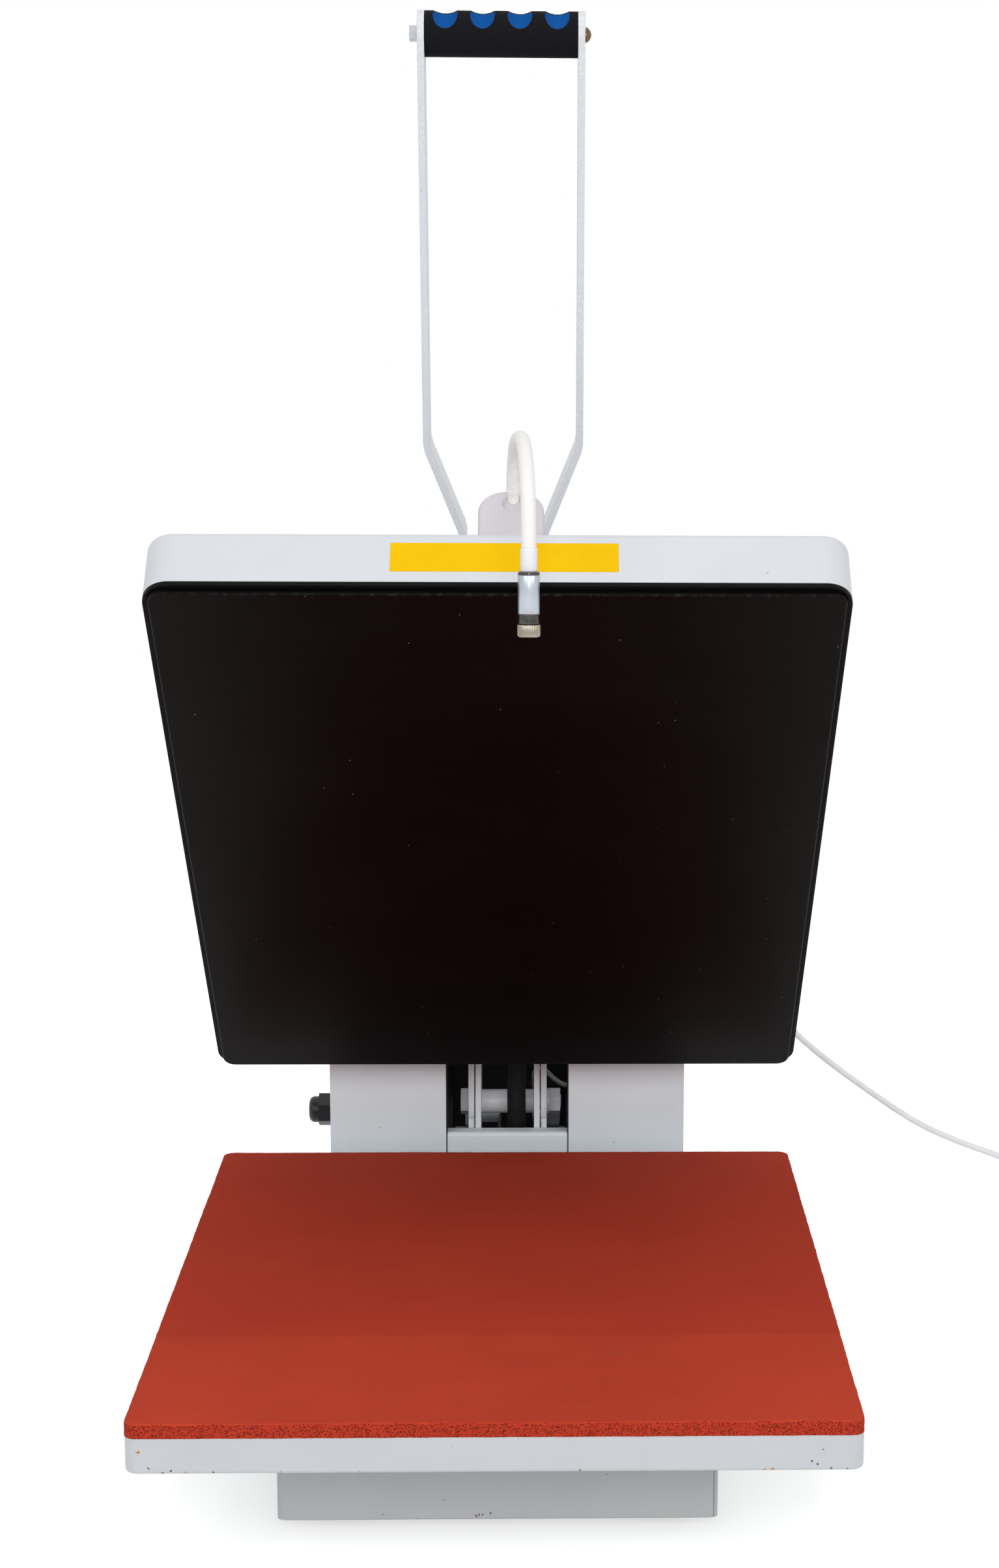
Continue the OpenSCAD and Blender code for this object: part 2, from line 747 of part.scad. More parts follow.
// A board on four posts, with the buttons' switches and the rocker's case
module control_electronics() {
    half = rocker_w / 2 + loose;
    color([0.1, 0.3, 0.18]) at_panel() difference() {
        union() {
            translate([0, 0, board_z - 1.6]) linear_extrude(1.6) rounded_rect(58, 80, 2);
            for (x = [-25.5, 25.5], y = [-36, 36])
                translate([x, y, board_z - 1]) cylinder(h = 1 - board_z, r = 3);
            for (x = [-20, 0, 20]) translate([x - 3, button_y - 3, board_z - 1]) cube([6, 6, 3.7]);
            translate([-half - case_wall, rocker_y - rocker_r - 1.2, board_z - 6])
                cube([2 * half + 2 * case_wall, 2 * rocker_r + 2.4, 6 - board_z]);
            translate([-22, window_y - 6, board_z - 1]) cube([44, 12, 6]);
        }
        translate([-half, rocker_y - rocker_r - 0.5, board_z - 4]) cube([2 * half, 2 * rocker_r + 1, 20]);
        translate([-half - 3, rocker_y, rocker_up]) rotate([0, 90, 0])
            cylinder(h = 2 * half + 6, r = rocker_pin + fit);
    }
}

// Cables and the gland
cable_in = [hinge_y + 92, hinge_z - 16];
earth_in = [hinge_y + 29, hinge_z + 4];
lead_out = [300, 206];

module cable_gland() {
    x0 = -housing_w / 2;
    color(black) translate([0, 215, 109]) rotate([0, -90, 0]) difference() {
        union() {
            translate([0, 0, -x0]) cylinder(h = 10.5, r = gland_af / sqrt(3), $fn = 6);
            translate([0, 0, -x0 + 10]) rotate_extrude() {
                square([6, 7.5]);
                square([9.5, 4]);
                intersection() {
                    translate([5.5, 3.5]) circle(4);
                    square([9.5, 7.5]);
                }
            }
            translate([0, 0, -x0 - 8]) cylinder(h = 9, r = 8);
            translate([0, 0, -x0 - housing_sheet - 5]) cylinder(h = 5, r = gland_af / sqrt(3), $fn = 6);
        }
        translate([0, 0, 100]) cylinder(h = 60, r = 4);
    }
}

module lead_grommet() {
    color(black) translate([housing_w / 2, lead_out[0], lead_out[1]]) rotate([0, 90, 0]) difference() {
        union() {
            cylinder(h = 2, r = 6.5);
            translate([0, 0, -housing_sheet - 1.5]) cylinder(h = 4.5, r = 4.8);
            translate([0, 0, -housing_sheet - 1.5]) cylinder(h = 1.5, r = 6.5);
        }
        translate([0, 0, -5]) cylinder(h = 10, r = lead_d / 2 + fit);
    }
}

function from_hinge(p) = [p[0], hinge_y - p[1], hinge_z + p[2]];

coil_mid = [500, 334];
coil_r = 34;
coil_turns = 3;
coil_pitch = 5.8;
lead_z = lead_d / 2 + 0.1;

module laser_lead() {
    color([0.9, 0.9, 0.9]) tube_along(curve([[124.5, 300, 206], [133, 300, 206], [150, 300, 204],
        [170, 300, 194], [195, 300, 170], [222, 300, 140.5], [258, 300, 111], [309, 300, 75.5],
        [345, 300, 58], [377, 300, 46], [400, 300, 35], [420, 300, 25], [440, 300, 15], [460, 300, 7],
        [480, 300, lead_z + 0.6], [496, 300, lead_z], [500, 300, lead_z]], 3), lead_d / 2, 10);
}

// The coil winds inwards on the floor, climbs half a turn and winds outwards on top of itself
coil_steps = 24;
inner_r = coil_r - coil_turns * coil_pitch;
layer = lead_d + 0.9;
function coil_at(r, a, z) = [coil_mid[0] + r * cos(a), coil_mid[1] + r * sin(a), z];
coil = concat(
    [for (i = [0:coil_turns * coil_steps]) let (t = i / coil_steps)
        coil_at(coil_r - coil_pitch * t, 360 * t - 90, lead_z)],
    [for (i = [1:coil_steps / 2]) let (t = 2 * i / coil_steps)
        coil_at(inner_r, 180 * t - 90, lead_z + layer * (3 - 2 * t) * t * t)],
    [for (i = [1:coil_turns * coil_steps]) let (t = i / coil_steps)
        coil_at(inner_r + coil_pitch * t, 360 * t + 90, lead_z + layer)],
    [for (p = [[492, 0, 0.1], [486, -0.2, 1.2], [480, -0.4, 2.5], [474, -0.5, 2.9]])
        [p[0], coil_mid[1] + coil_r + p[1], lead_z + layer - p[2]]]);
coil_gap = min([for (i = [0:2:len(coil) - 1], j = [i + 12:1:len(coil) - 1])
    norm(coil[i] - coil[j])]) - lead_d;
echo(coil_gap = coil_gap);

module lead_coil() {
    color([0.9, 0.9, 0.9]) tube_along(coil, lead_d / 2, 6);
}

module lead_plug() {
    color(black) translate([474, coil_mid[1] + coil_r - 0.5, lead_z + layer - 2.9])
    rotate([0, -90, 0]) difference() {
        union() {
            translate([0, 0, 0.3]) cylinder(h = 8, r1 = 3.4, r2 = 4.8);
            translate([0, 0, 8]) cylinder(h = 16, r = 4.8);
            translate([0, 0, 23]) cylinder(h = 11, r = 2.8);
        }
        translate([0, 0, 25]) cylinder(h = 10, r = 1.2);
        translate([0, 0, -1]) cylinder(h = 5, r = lead_d / 2 + fit);
    }
}

module heater_cable() {
    out = [for (s = [74, 66, 58]) concat([7], opened([s, 13]))];
    color(black) tube_along(curve(concat([for (p = out) from_hinge(p)], [for (p = [
        [7, 19, 32], [6.5, 18, 14], [6.5, 17, -2], [6.5, 9, -20], [8, -6, -26.5], [11, -22, -26.5],
        [11, -42, -23], [9, -62, -18], [9.5, -78, -16], [16, -88.5, -16], [28, -92, -16], [40, -92, -16],
        [50, -92, -16]]) from_hinge(p)]), 3), cable_d / 2, 12);
}

module earth_wire() {
    color([0.8, 0.8, 0.78]) tube_along(curve([for (p = [[20, -58, -62], [20, -58, -54], [20, -57, -40],
        [20, -52, -18], [19, -43, 3], [20, -37, 12.5], [26, -34, 15], [34, -31, 8.5], [41, -29, 4.5],
        [45, -29, 4], [49, -29, 4]]) from_hinge(p)], 3), earth_d / 2, 10);
}

// The swinging arm
module arm_outline() {
    difference() {
        union() {
            strap([0, 0], 20, tail, 11);
            strap(knee, arm_half, nose, nose_half);
            band([0, 0], 20, knee, arm_half);
        }
        circle(bolt_d / 2 + fit);
        translate(pivot) circle(shaft_d / 2 + fit);
        translate(tail) circle(6 + fit);
        translate(spacer_at) circle(5 + fit);
        for (u = dowels) translate([u, dowel_z]) circle(3.5 + fit);
    }
}

dowels = [screw_fwd - 14.5, screw_fwd + 14.5];
dowel_z = block_z + block_h / 2;

module arm_plate_right() {
    color(paint) at_arm() side_plate(arm_in, plate_t) arm_outline();
}

module arm_plate_left() {
    mirror([1, 0, 0]) arm_plate_right();
}

// The tube on the main hinge bolt, and a shouldered bar near the front
module arm_spacers() {
    color(paint) at_arm() {
        difference() {
            cross_bar([0, 0], spacer_d / 2, -arm_in, arm_in);
            cross_bar([0, 0], bolt_d / 2 + fit, -arm_in - 1, arm_in + 1);
        }
        cross_bar(spacer_at, 9, -arm_in, arm_in);
        cross_bar(spacer_at, 5, -arm_out, arm_out);
    }
}

// The block that the pressure screw turns in, held by dowels through the arm plates
module nut_block() {
    color(steel) at_arm() difference() {
        union() {
            translate([-arm_in, -screw_fwd - block_l / 2, block_z]) cube([arm_gap, block_l, block_h]);
            for (u = dowels) cross_bar([u, dowel_z], 3.5, -arm_out, arm_out);
        }
        translate([0, -screw_fwd, block_z - 1]) cylinder(h = block_h + 2, r = screw_d / 2 + 0.1);
        for (s = [-1, 1]) translate([0, s * rod_out - screw_fwd, block_z - 1])
            cylinder(h = block_h + 2, r = rod_d / 2 + 0.1);
    }
}

module strut_arm_pins() {
    color(zinc) at_arm() both_sides() cross_bar(tail, 6, 4.8, arm_out + 0.4);
}

// The handle. Bars are strips that spread outwards, cut to their side outline
function bend(a, b, c, r, n) =
    let (u = unit(a - b), v = unit(c - b), half = acos(u * v) / 2, m = b + unit(u + v) * r / sin(half),
        p = b + u * r / tan(half), q = b + v * r / tan(half), a0 = atan2(p[1] - m[1], p[0] - m[0]),
        d = atan2(q[1] - m[1], q[0] - m[0]) - a0, turn = d > 180 ? d - 360 : d < -180 ? d + 360 : d)
    [for (k = [0:n]) m + r * [cos(a0 + turn * k / n), sin(a0 + turn * k / n)]];

function beside(p, d) = [for (i = [0:len(p) - 1])
    let (t = unit(p[min(i + 1, len(p) - 1)] - p[max(i - 1, 0)])) p[i] + d * [-t[1], t[0]]];

module bar_strip() {
    low = (bar_in + bar_out) / 2;
    high = (handle_w - bar_t) / 2;
    path = concat([[low, -30]],
        bend([low, -30], [low, spread_from], [high, spread_to], 25, 8),
        bend([low, spread_from], [high, spread_to], [high, handle_l + 30], 25, 8),
        [[high, handle_l + 30]]);
    back = beside(path, -bar_t / 2);
    polygon(concat(beside(path, bar_t / 2), [for (i = [len(back) - 1:-1:0]) back[i]]));
}

module bar_side() {
    difference() {
        union() {
            strap([0, 0], 18, [bar_fwd, spread_from], bar_w / 2);
            strap([bar_fwd, spread_from], bar_w / 2, [bar_fwd, handle_l], bar_w / 2 - 0.01);
        }
        circle(6 + fit);
        translate([bar_fwd, handle_l]) circle(grip_bolt_d / 2 + fit);
    }
}

module handle_bar_right() {
    color(paint) at_handle() intersection() {
        translate([0, 60, 0]) rotate([90, 0, 0]) linear_extrude(140) bar_strip();
        side_plate(0, 60) bar_side();
    }
}

module handle_bar_left() {
    mirror([1, 0, 0]) handle_bar_right();
}

// Finger hollows round the upper front of the grip, the same cut in the skin and the core
module grip_hollows() {
    for (x = [-1.5:1:1.5]) translate([x * hollow_pitch, -bar_fwd, handle_l]) rotate([34 - handle_lean, 0, 0])
        translate([0, 0, grip_d / 2 - hollow_deep + 39.4]) rotate([0, 90, 0])
            rotate_extrude($fn = 96) translate([30, 0]) circle(9.4);
}

module grip_sleeve() {
    color(black) at_handle() difference() {
        cross_bar([bar_fwd, handle_l], grip_d / 2, -grip_half, grip_half);
        cross_bar([bar_fwd, handle_l], grip_d / 2 - grip_skin, -grip_half - 1, grip_half + 1);
        grip_hollows();
    }
}

module grip_core() {
    color([0, 0.35, 0.65]) at_handle() difference() {
        cross_bar([bar_fwd, handle_l], grip_d / 2 - grip_skin, -grip_half, grip_half);
        cross_bar([bar_fwd, handle_l], grip_bolt_d / 2 + fit, -grip_half - 1, grip_half + 1);
        grip_hollows();
    }
}

module grip_bolt() {
    out = handle_w / 2;
    color([0.8, 0.65, 0.3]) at_handle() {
        cross_bar([bar_fwd, handle_l], grip_bolt_d / 2, -out - 4, out + 1);
        translate([out, -bar_fwd, handle_l]) rotate([0, 90, 0]) intersection() {
            cylinder(h = 3.8, r = 4.55);
            translate([0, 0, -1.35]) sphere(5.15);
        }
    }
}

module grip_nut() {
    out = handle_w / 2;
    color(zinc) at_handle() difference() {
        cross_hex([bar_fwd, handle_l], 8.4, -out - 5, -out);
        cross_bar([bar_fwd, handle_l], grip_bolt_d / 2 + fit, -out - 4.2, -out + 1);
    }
}

// The shaft with its end nuts, and the crank that sits on it between the arm plates
module pivot_shaft() {
    color(zinc) at_handle() {
        cross_bar([0, 0], shaft_d / 2, -bar_in, bar_in);
        both_sides() {
            cross_bar([0, 0], 6, 0, bar_out + 8);
            cross_hex([0, 0], hex_af + 1, bar_out, bar_out + 6.5);
        }
    }
}

module toggle_crank() {
    p = opened(pivot);
    color(steel) at_hinge() {
        difference() {
            union() {
                both_sides() side_plate(crank_in, plate_t) strap(p, 18, elbow, 12);
                cross_bar(p, 13, -crank_out, crank_out);
            }
            cross_bar(p, shaft_d / 2 + fit, -crank_out - 1, crank_out + 1);
        }
        both_sides() cross_bar(elbow, elbow_d / 2, crank_in - 1.9, crank_in + 1);
    }
}

module toggle_link() {
    color(steel) at_hinge() difference() {
        union() {
            both_sides() side_plate(link_in, plate_t) strap(anchor, 13, elbow, 11);
            cross_bar(anchor, 10, space - bracket_in, bracket_in - space);
            cross_bar(elbow, elbow_d / 2, -link_out - 0.2, link_out + 0.2);
        }
        cross_bar(anchor, bolt_d / 2 + fit, -bracket_in, bracket_in);
    }
}

// The gas strut between the brackets' rear bolt and the arm's tail
module strut_cylinder() {
    color(black) at_strut() difference() {
        union() {
            cross_bar([0, 0], 9, -4.5, 4.5);
            rotate([90, 0, 0]) cylinder(h = 13, r = 5.5);
            translate([0, -12, 0]) rotate([90, 0, 0]) cylinder(h = strut_body_l - 12, r = strut_d / 2);
        }
        cross_bar([0, 0], bolt_d / 2 + fit, -6, 6);
        translate([0, -14, 0]) rotate([90, 0, 0]) cylinder(h = strut_body_l, r = strut_rod_d / 2 + fit);
    }
}

module strut_rod() {
    color(steel) at_strut() {
        cross_bar([strut_l, 0], 9, -4.5, 4.5);
        translate([0, strut_rod_l - strut_l, 0]) rotate([90, 0, 0])
            cylinder(h = strut_rod_l, r = strut_rod_d / 2);
    }
}

// The upper platen, drawn from its heater face upwards
cover_low = heater_out + rim_h;
boss_out = 45;

module stud_places() {
    for (x = [-boss_out, boss_out], y = [-boss_out, boss_out]) translate([x, y, 0]) children();
}

module platen_cover() {
    color(black) at_platen() difference() {
        translate([0, 0, stack_h]) rotate([180, 0, 0])
            soft_slab(cover_w, cover_l, stack_h - cover_low, cover_r, cover_edge);
        translate([0, 0, stack_h - cover_sheet]) rotate([180, 0, 0])
            soft_slab(cover_w - 2 * cover_sheet, cover_l - 2 * cover_sheet, stack_h, cover_r - cover_sheet,
                cover_edge - cover_sheet);
        stud_places() cylinder(h = stack_h + 1, r = 4 + loose);
        translate([7, cover_l / 2 - 5, 13 - face_z]) rotate([-90, 0, 0]) cylinder(h = 10, r = 9 + fit);
    }
}

module rim_gasket() {
    color(black) at_platen() translate([0, 0, heater_out]) linear_extrude(rim_h) difference() {
        rounded_rect(cover_w, cover_l, cover_r);
        rounded_rect(heater_w + 2 * space, heater_l + 2 * space, heater_r + space);
    }
}

module heater_plate() {
    color([0.1, 0.1, 0.11]) at_platen() difference() {
        union() {
            soft_slab(heater_w, heater_l, heater_t, heater_r, 1);
            stud_places() translate([0, 0, heater_t - 1])
                cylinder(h = stack_h - cover_sheet - heater_t + 1, r = 9);
        }
        stud_places() translate([0, 0, stack_h - cover_sheet - 13]) cylinder(h = 20, r = 4 + fit);
    }
}

// A flat heating tube that runs to and fro over the plate, clear of the four bosses
module element_bend(x0, x1, y) {
    r = (x1 - x0) / 2;
    translate([(x0 + x1) / 2, y]) intersection() {
        difference() {
            circle(r + element_w / 2);
            circle(r - element_w / 2);
        }
        translate([-r - element_w, y > 0 ? 0 : -r - element_w])
            square([2 * r + 2 * element_w, r + element_w]);
    }
}

module heating_element() {
    side = heater_w / 2 - 40;
    end = heater_l / 2 - 60;
    runs = [-side, -side * 5 / 8, -boss_out + 25, boss_out - 25, side * 5 / 8, side];
    color(steel) at_platen() translate([0, 0, heater_t]) linear_extrude(element_h) {
        for (x = runs) translate([x - element_w / 2, -end]) square([element_w, 2 * end]);
        for (i = [0:4]) element_bend(runs[i], runs[i + 1], i % 2 == 0 ? -end : end);
    }
}

module insulation_blanket() {
    color([0.85, 0.83, 0.75]) at_platen() difference() {
        translate([0, 0, heater_t + element_h]) linear_extrude(blanket_t)
            rounded_rect(heater_w - 2 * blanket_in, heater_l - 2 * blanket_in, 8);
        stud_places() cylinder(h = stack_h, r = 9 + space);
    }
}

// The suspension plate with the screw's seat and the two guide rods
module suspension_bridge() {
    color(steel) at_platen() difference() {
        union() {
            translate([0, 0, stack_h]) linear_extrude(bridge_t) rounded_rect(bridge_w, bridge_w, 6);
            translate([0, 0, stack_h]) cylinder(h = bridge_t + 11, r = 16);
            for (s = [-1, 1]) translate([0, s * rod_out, stack_h])
                cylinder(h = block_z + block_h + 10 - cover_z, r = rod_d / 2);
        }
        stud_places() translate([0, 0, stack_h - 1]) cylinder(h = 20, r = 4 + loose);
        translate([0, 0, stack_h + 9]) cylinder(h = 20, r = screw_d / 2 + fit);
    }
}

module bridge_bolts() {
    color(zinc) at_platen() stud_places() {
        translate([0, 0, stack_h + bridge_t]) cylinder(h = m8_head, r = m8_af / sqrt(3), $fn = 6);
        translate([0, 0, stack_h - cover_sheet - 12]) cylinder(h = cover_sheet + bridge_t + 13, r = 4);
    }
}

module heater_grommet() {
    color(black) at_platen() translate([7, cover_l / 2, 13 - face_z]) rotate([-90, 0, 0]) difference() {
        union() {
            translate([0, 0, -cover_sheet - 1.5]) cylinder(h = 4, r = 9);
            cylinder(h = 2.5, r = 11);
            translate([0, 0, -cover_sheet - 1.5]) cylinder(h = 1.5, r = 11);
        }
        translate([0, 0, -5]) cylinder(h = 10, r = cable_d / 2 + 0.2);
    }
}

module pressure_screw() {
    color(steel) at_arm() translate([0, -screw_fwd, cover_z + 9.2])
        cylinder(h = knob_z - cover_z + 7, d = screw_d);
}

knob_z = block_z + block_h + 6;
module pressure_knob() {
    lobe = 7;
    color(black) at_arm() translate([0, -screw_fwd, knob_z]) difference() {
        union() {
            cylinder(h = knob_h, r = knob_d / 2 - 6);
            for (a = [0:72:288]) rotate([0, 0, a]) translate([knob_d / 2 - lobe, 0, 4])
                cylinder(h = knob_h - 4, r = lobe);
        }
        translate([0, 0, -1]) cylinder(h = 17.4, r = screw_d / 2 + fit);
    }
}

// The pointer lamp: its housing on the cover, then the neck, the sleeve, the lamp and its ring
root = [8, -119, 574] + [0, hinge_y - 218, hinge_z - 114];
lamp_tilt = 2.3;
neck_end = root + [9.6, -129, -17];

module dome_outline(w, h, rx, rz) {
    polygon(concat([[-w / 2, 0]],
        [for (a = [180:-10:90]) [rx - w / 2 + rx * cos(a), h - rz + rz * sin(a)]],
        [for (a = [90:-10:0]) [w / 2 - rx + rx * cos(a), h - rz + rz * sin(a)]],
        [[w / 2, 0]]));
}

module at_neck_root() {
    translate(root) children();
}

module laser_base() {
    mid = 554.5;
    color([0.84, 0.82, 0.84]) difference() {
        at_arm() translate([lamp_side, -mid, cover_z]) intersection() {
            linear_extrude(lamp_base_h + 1) rounded_rect(lamp_base_w, lamp_base_l, 8);
            translate([0, lamp_base_l / 2 + 1, 0]) rotate([90, 0, 0]) linear_extrude(lamp_base_l + 2)
                dome_outline(lamp_base_w, lamp_base_h, 16, 14);
            side_plate(-lamp_base_w / 2 - 1, lamp_base_w + 2) dome_outline(lamp_base_l, lamp_base_h, 14, 14);
        }
        at_neck_root() translate([0, 0, -16]) cylinder(h = 30, r = neck_d / 2 + fit);
        at_neck_root() translate([0, 0, -4]) cylinder(h = 16, r1 = 4.8, r2 = 10);
    }
}

function bezier(a, b, c, d, n) = [for (i = [1:n]) let (t = i / n)
    a * pow(1 - t, 3) + 3 * b * t * pow(1 - t, 2) + 3 * c * t * t * (1 - t) + d * t * t * t];

module gooseneck() {
    lamp_dir = [0, -sin(lamp_tilt), -cos(lamp_tilt)];
    color([0.92, 0.92, 0.91]) at_neck_root() tube_along(concat(
        [[0, 0, -15.7], [0, 0, -8], [0, 0, 0]],
        bezier([0, 0, 0], [0, 0, 32], [2, -25, 39.5], [5, -62, 39.5], 16),
        bezier([5, -62, 39.5], [8, -100, 39.5], [9.6, -127, 15], [9.6, -129, -17], 18),
        [neck_end - root + lamp_dir * 6, neck_end - root + lamp_dir * sleeve_l]), neck_d / 2, 16);
}

// Frame at the neck's end, with Z down along the lamp
module at_lamp() {
    translate(neck_end) rotate([180 - lamp_tilt, 0, 0]) children();
}

module laser_sleeve() {
    color([0.85, 0.85, 0.85]) at_lamp() difference() {
        cylinder(h = sleeve_l, d = sleeve_d);
        translate([0, 0, -1]) cylinder(h = sleeve_l + 2, r = neck_d / 2 + fit);
    }
}

module laser_body() {
    color([0.75, 0.76, 0.78]) at_lamp() difference() {
        union() {
            translate([0, 0, sleeve_l]) cylinder(h = lamp_l, d = lamp_d);
            translate([0, 0, sleeve_l + lamp_l - 1]) cylinder(h = ring_l - 1.5, r = 4);
        }
        translate([0, 0, sleeve_l + lamp_l - 3]) cylinder(h = 20, r = 2.5);
    }
}

module laser_focus_ring() {
    color([0.6, 0.6, 0.62]) at_lamp() translate([0, 0, sleeve_l + lamp_l + space]) difference() {
        cylinder(h = ring_l, d = ring_d);
        translate([0, 0, -1]) cylinder(h = ring_l - 1, r = 4 + fit);
        translate([0, 0, -1]) cylinder(h = ring_l + 2, r = 2.6);
    }
}

base_chassis();
bottom_plate();
rubber_feet();
lower_platen();
silicone_pad();
frame_bolts();
left_housing();
right_housing();
channel_panel();
rear_cover();
hinge_bracket_left();
hinge_bracket_right();
pivot_bolts();
pivot_nuts();
control_panel();
display_window();
button_set();
button_up();
button_down();
power_rocker();
cable_gland();
control_electronics();
lead_grommet();
laser_lead();
lead_coil();
lead_plug();
heater_cable();
earth_wire();
arm_plate_left();
arm_plate_right();
arm_spacers();
nut_block();
strut_arm_pins();
handle_bar_left();
handle_bar_right();
grip_sleeve();
grip_core();
grip_bolt();
grip_nut();
pivot_shaft();
toggle_crank();
toggle_link();
strut_cylinder();
strut_rod();
platen_cover();
rim_gasket();
heater_plate();
heating_element();
insulation_blanket();
suspension_bridge();
bridge_bolts();
heater_grommet();
laser_base();
gooseneck();
laser_sleeve();
laser_body();
laser_focus_ring();
pressure_screw();
pressure_knob();
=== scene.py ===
"""Looks of an open clamshell heat press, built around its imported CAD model.

All sizes are metres in the press's own frame: X to the operator's right, Y to the back, Z up from the
floor. The script follows the press as it is put together, from the floor it stands on to the pointer lamp.
"""

import math

import bpy
import numpy as np
from mathutils import Matrix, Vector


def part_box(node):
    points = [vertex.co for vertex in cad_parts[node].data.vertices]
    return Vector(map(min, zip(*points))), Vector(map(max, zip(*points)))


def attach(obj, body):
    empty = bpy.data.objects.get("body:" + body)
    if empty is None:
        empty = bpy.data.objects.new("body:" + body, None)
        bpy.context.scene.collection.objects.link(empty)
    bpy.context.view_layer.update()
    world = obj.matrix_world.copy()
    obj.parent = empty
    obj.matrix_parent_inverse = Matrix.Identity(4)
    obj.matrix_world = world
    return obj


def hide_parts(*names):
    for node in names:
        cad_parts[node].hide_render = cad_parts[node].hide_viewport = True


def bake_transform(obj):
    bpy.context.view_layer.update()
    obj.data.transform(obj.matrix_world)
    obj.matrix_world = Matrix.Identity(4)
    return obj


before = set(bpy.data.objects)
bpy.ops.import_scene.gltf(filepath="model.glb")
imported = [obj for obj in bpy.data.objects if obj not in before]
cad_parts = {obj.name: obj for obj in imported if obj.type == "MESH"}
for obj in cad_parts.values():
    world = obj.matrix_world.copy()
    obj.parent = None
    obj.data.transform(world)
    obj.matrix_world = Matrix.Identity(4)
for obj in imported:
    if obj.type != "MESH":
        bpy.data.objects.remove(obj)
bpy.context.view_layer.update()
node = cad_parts

# The camera stands in front of the press, a little right of its middle and above the raised platen, and
# looks slightly down. Its shift puts the press where the photograph has it.
EYE = (0.0244, -1.7867, 0.6821)
LOOK_RIGHT = math.radians(1.68)
LOOK_DOWN = math.radians(10.59)
ROLL = math.radians(0.33)
LENS_PX, IMAGE_W, IMAGE_H = 4334, 1534, 2408
CENTRE_PX = (956, 1294)

forward = np.array([
    math.sin(LOOK_RIGHT) * math.cos(LOOK_DOWN),
    math.cos(LOOK_RIGHT) * math.cos(LOOK_DOWN),
    -math.sin(LOOK_DOWN),
])
level = np.array([math.cos(LOOK_RIGHT), -math.sin(LOOK_RIGHT), 0.0])
rightward = math.cos(ROLL) * level + math.sin(ROLL) * np.cross(level, forward)
upward = np.cross(rightward, forward)

lens = bpy.data.cameras.new("photo_lens")
lens.sensor_fit = "AUTO"
lens.sensor_width = 36
lens.lens = LENS_PX * lens.sensor_width / IMAGE_H
lens.shift_x = (IMAGE_W / 2 - CENTRE_PX[0]) / IMAGE_H
lens.shift_y = (CENTRE_PX[1] - IMAGE_H / 2) / IMAGE_H
lens.clip_start, lens.clip_end = 0.05, 50
camera = bpy.data.objects.new("photo_camera", lens)
bpy.context.scene.collection.objects.link(camera)
placing = Matrix.Identity(4)
for column, axis in enumerate((rightward, upward, -forward, EYE)):
    for row in range(3):
        placing[row][column] = float(axis[row])
camera.matrix_world = placing
bpy.context.scene.camera = camera

# The studio: a white sweep, soft lamps in front and above, and a room that is white where the camera or
# a mirror finish looks at it. The floor fades into that white, and keeps the press's shadow.
scene = bpy.context.scene
scene.view_settings.view_transform = "Standard"


def colour(red, green, blue):
    """A colour as painters' tables give it, 0 to 255 a channel, turned into linear light by the sRGB curve."""
    c = np.array([red, green, blue]) / 255
    light = np.where(c <= 0.04045, c / 12.92, ((c + 0.055) / 1.055) ** 2.4)
    return (*light.tolist(), 1.0)


def add(tree, kind, sockets=None, **settings):
    """Adds one shader node. A socket takes a number, a colour or another node's output."""
    made = tree.nodes.new("ShaderNode" + kind)
    for name, value in settings.items():
        setattr(made, name, value)
    for name, value in (sockets or {}).items():
        if isinstance(value, bpy.types.NodeSocket):
            tree.links.new(value, made.inputs[name])
        else:
            made.inputs[name].default_value = value
    return made


def new_material(name):
    """An empty material and its node tree."""
    material = bpy.data.materials.new(name)
    material.use_nodes = True
    material.node_tree.nodes.clear()
    return material, material.node_tree


ROOM_LIGHT = 0.62
room = bpy.data.worlds.new("studio")
room.use_nodes = True
room.node_tree.nodes.clear()
seen = add(room.node_tree, "LightPath").outputs
camera_or_gloss = add(room.node_tree, "Math", {0: seen["Is Camera Ray"], 1: seen["Is Glossy Ray"]},
                      operation="MAXIMUM").outputs[0]
seen_white = add(room.node_tree, "Math", {0: camera_or_gloss, 1: seen["Is Transmission Ray"]},
                 operation="MAXIMUM").outputs[0]
strength = add(room.node_tree, "MapRange", {"Value": seen_white, "To Min": ROOM_LIGHT, "To Max": 1.0}).outputs[0]
sky = add(room.node_tree, "Background", {"Color": (1, 1, 1, 1), "Strength": strength})
add(room.node_tree, "OutputWorld", {"Surface": sky.outputs[0]})
scene.world = room


def soft_lamp(name, place, aim, size, watts):
    """A square lamp at place that faces aim."""
    light = bpy.data.lights.new(name, "AREA")
    light.shape, light.size, light.energy = "SQUARE", size, watts
    lamp = bpy.data.objects.new(name, light)
    scene.collection.objects.link(lamp)
    out = Matrix.Translation(place).to_translation() - Matrix.Translation(aim).to_translation()
    lamp.matrix_world = Matrix.Translation(place) @ out.to_track_quat("Z", "Y").to_matrix().to_4x4()


soft_lamp("lamp_left_front", (-1.5, -2.3, 1.9), (0, -0.1, 0.3), 1.3, 17)
soft_lamp("lamp_right_front", (1.7, -2.1, 1.6), (0, -0.1, 0.3), 1.3, 13)
soft_lamp("lamp_above", (0.1, -0.5, 2.8), (0, -0.1, 0.2), 1.5, 8)
soft_lamp("lamp_beside_camera", (0.1, -2.0, 0.95), (0, 0.1, 0.3), 0.6, 5.5)

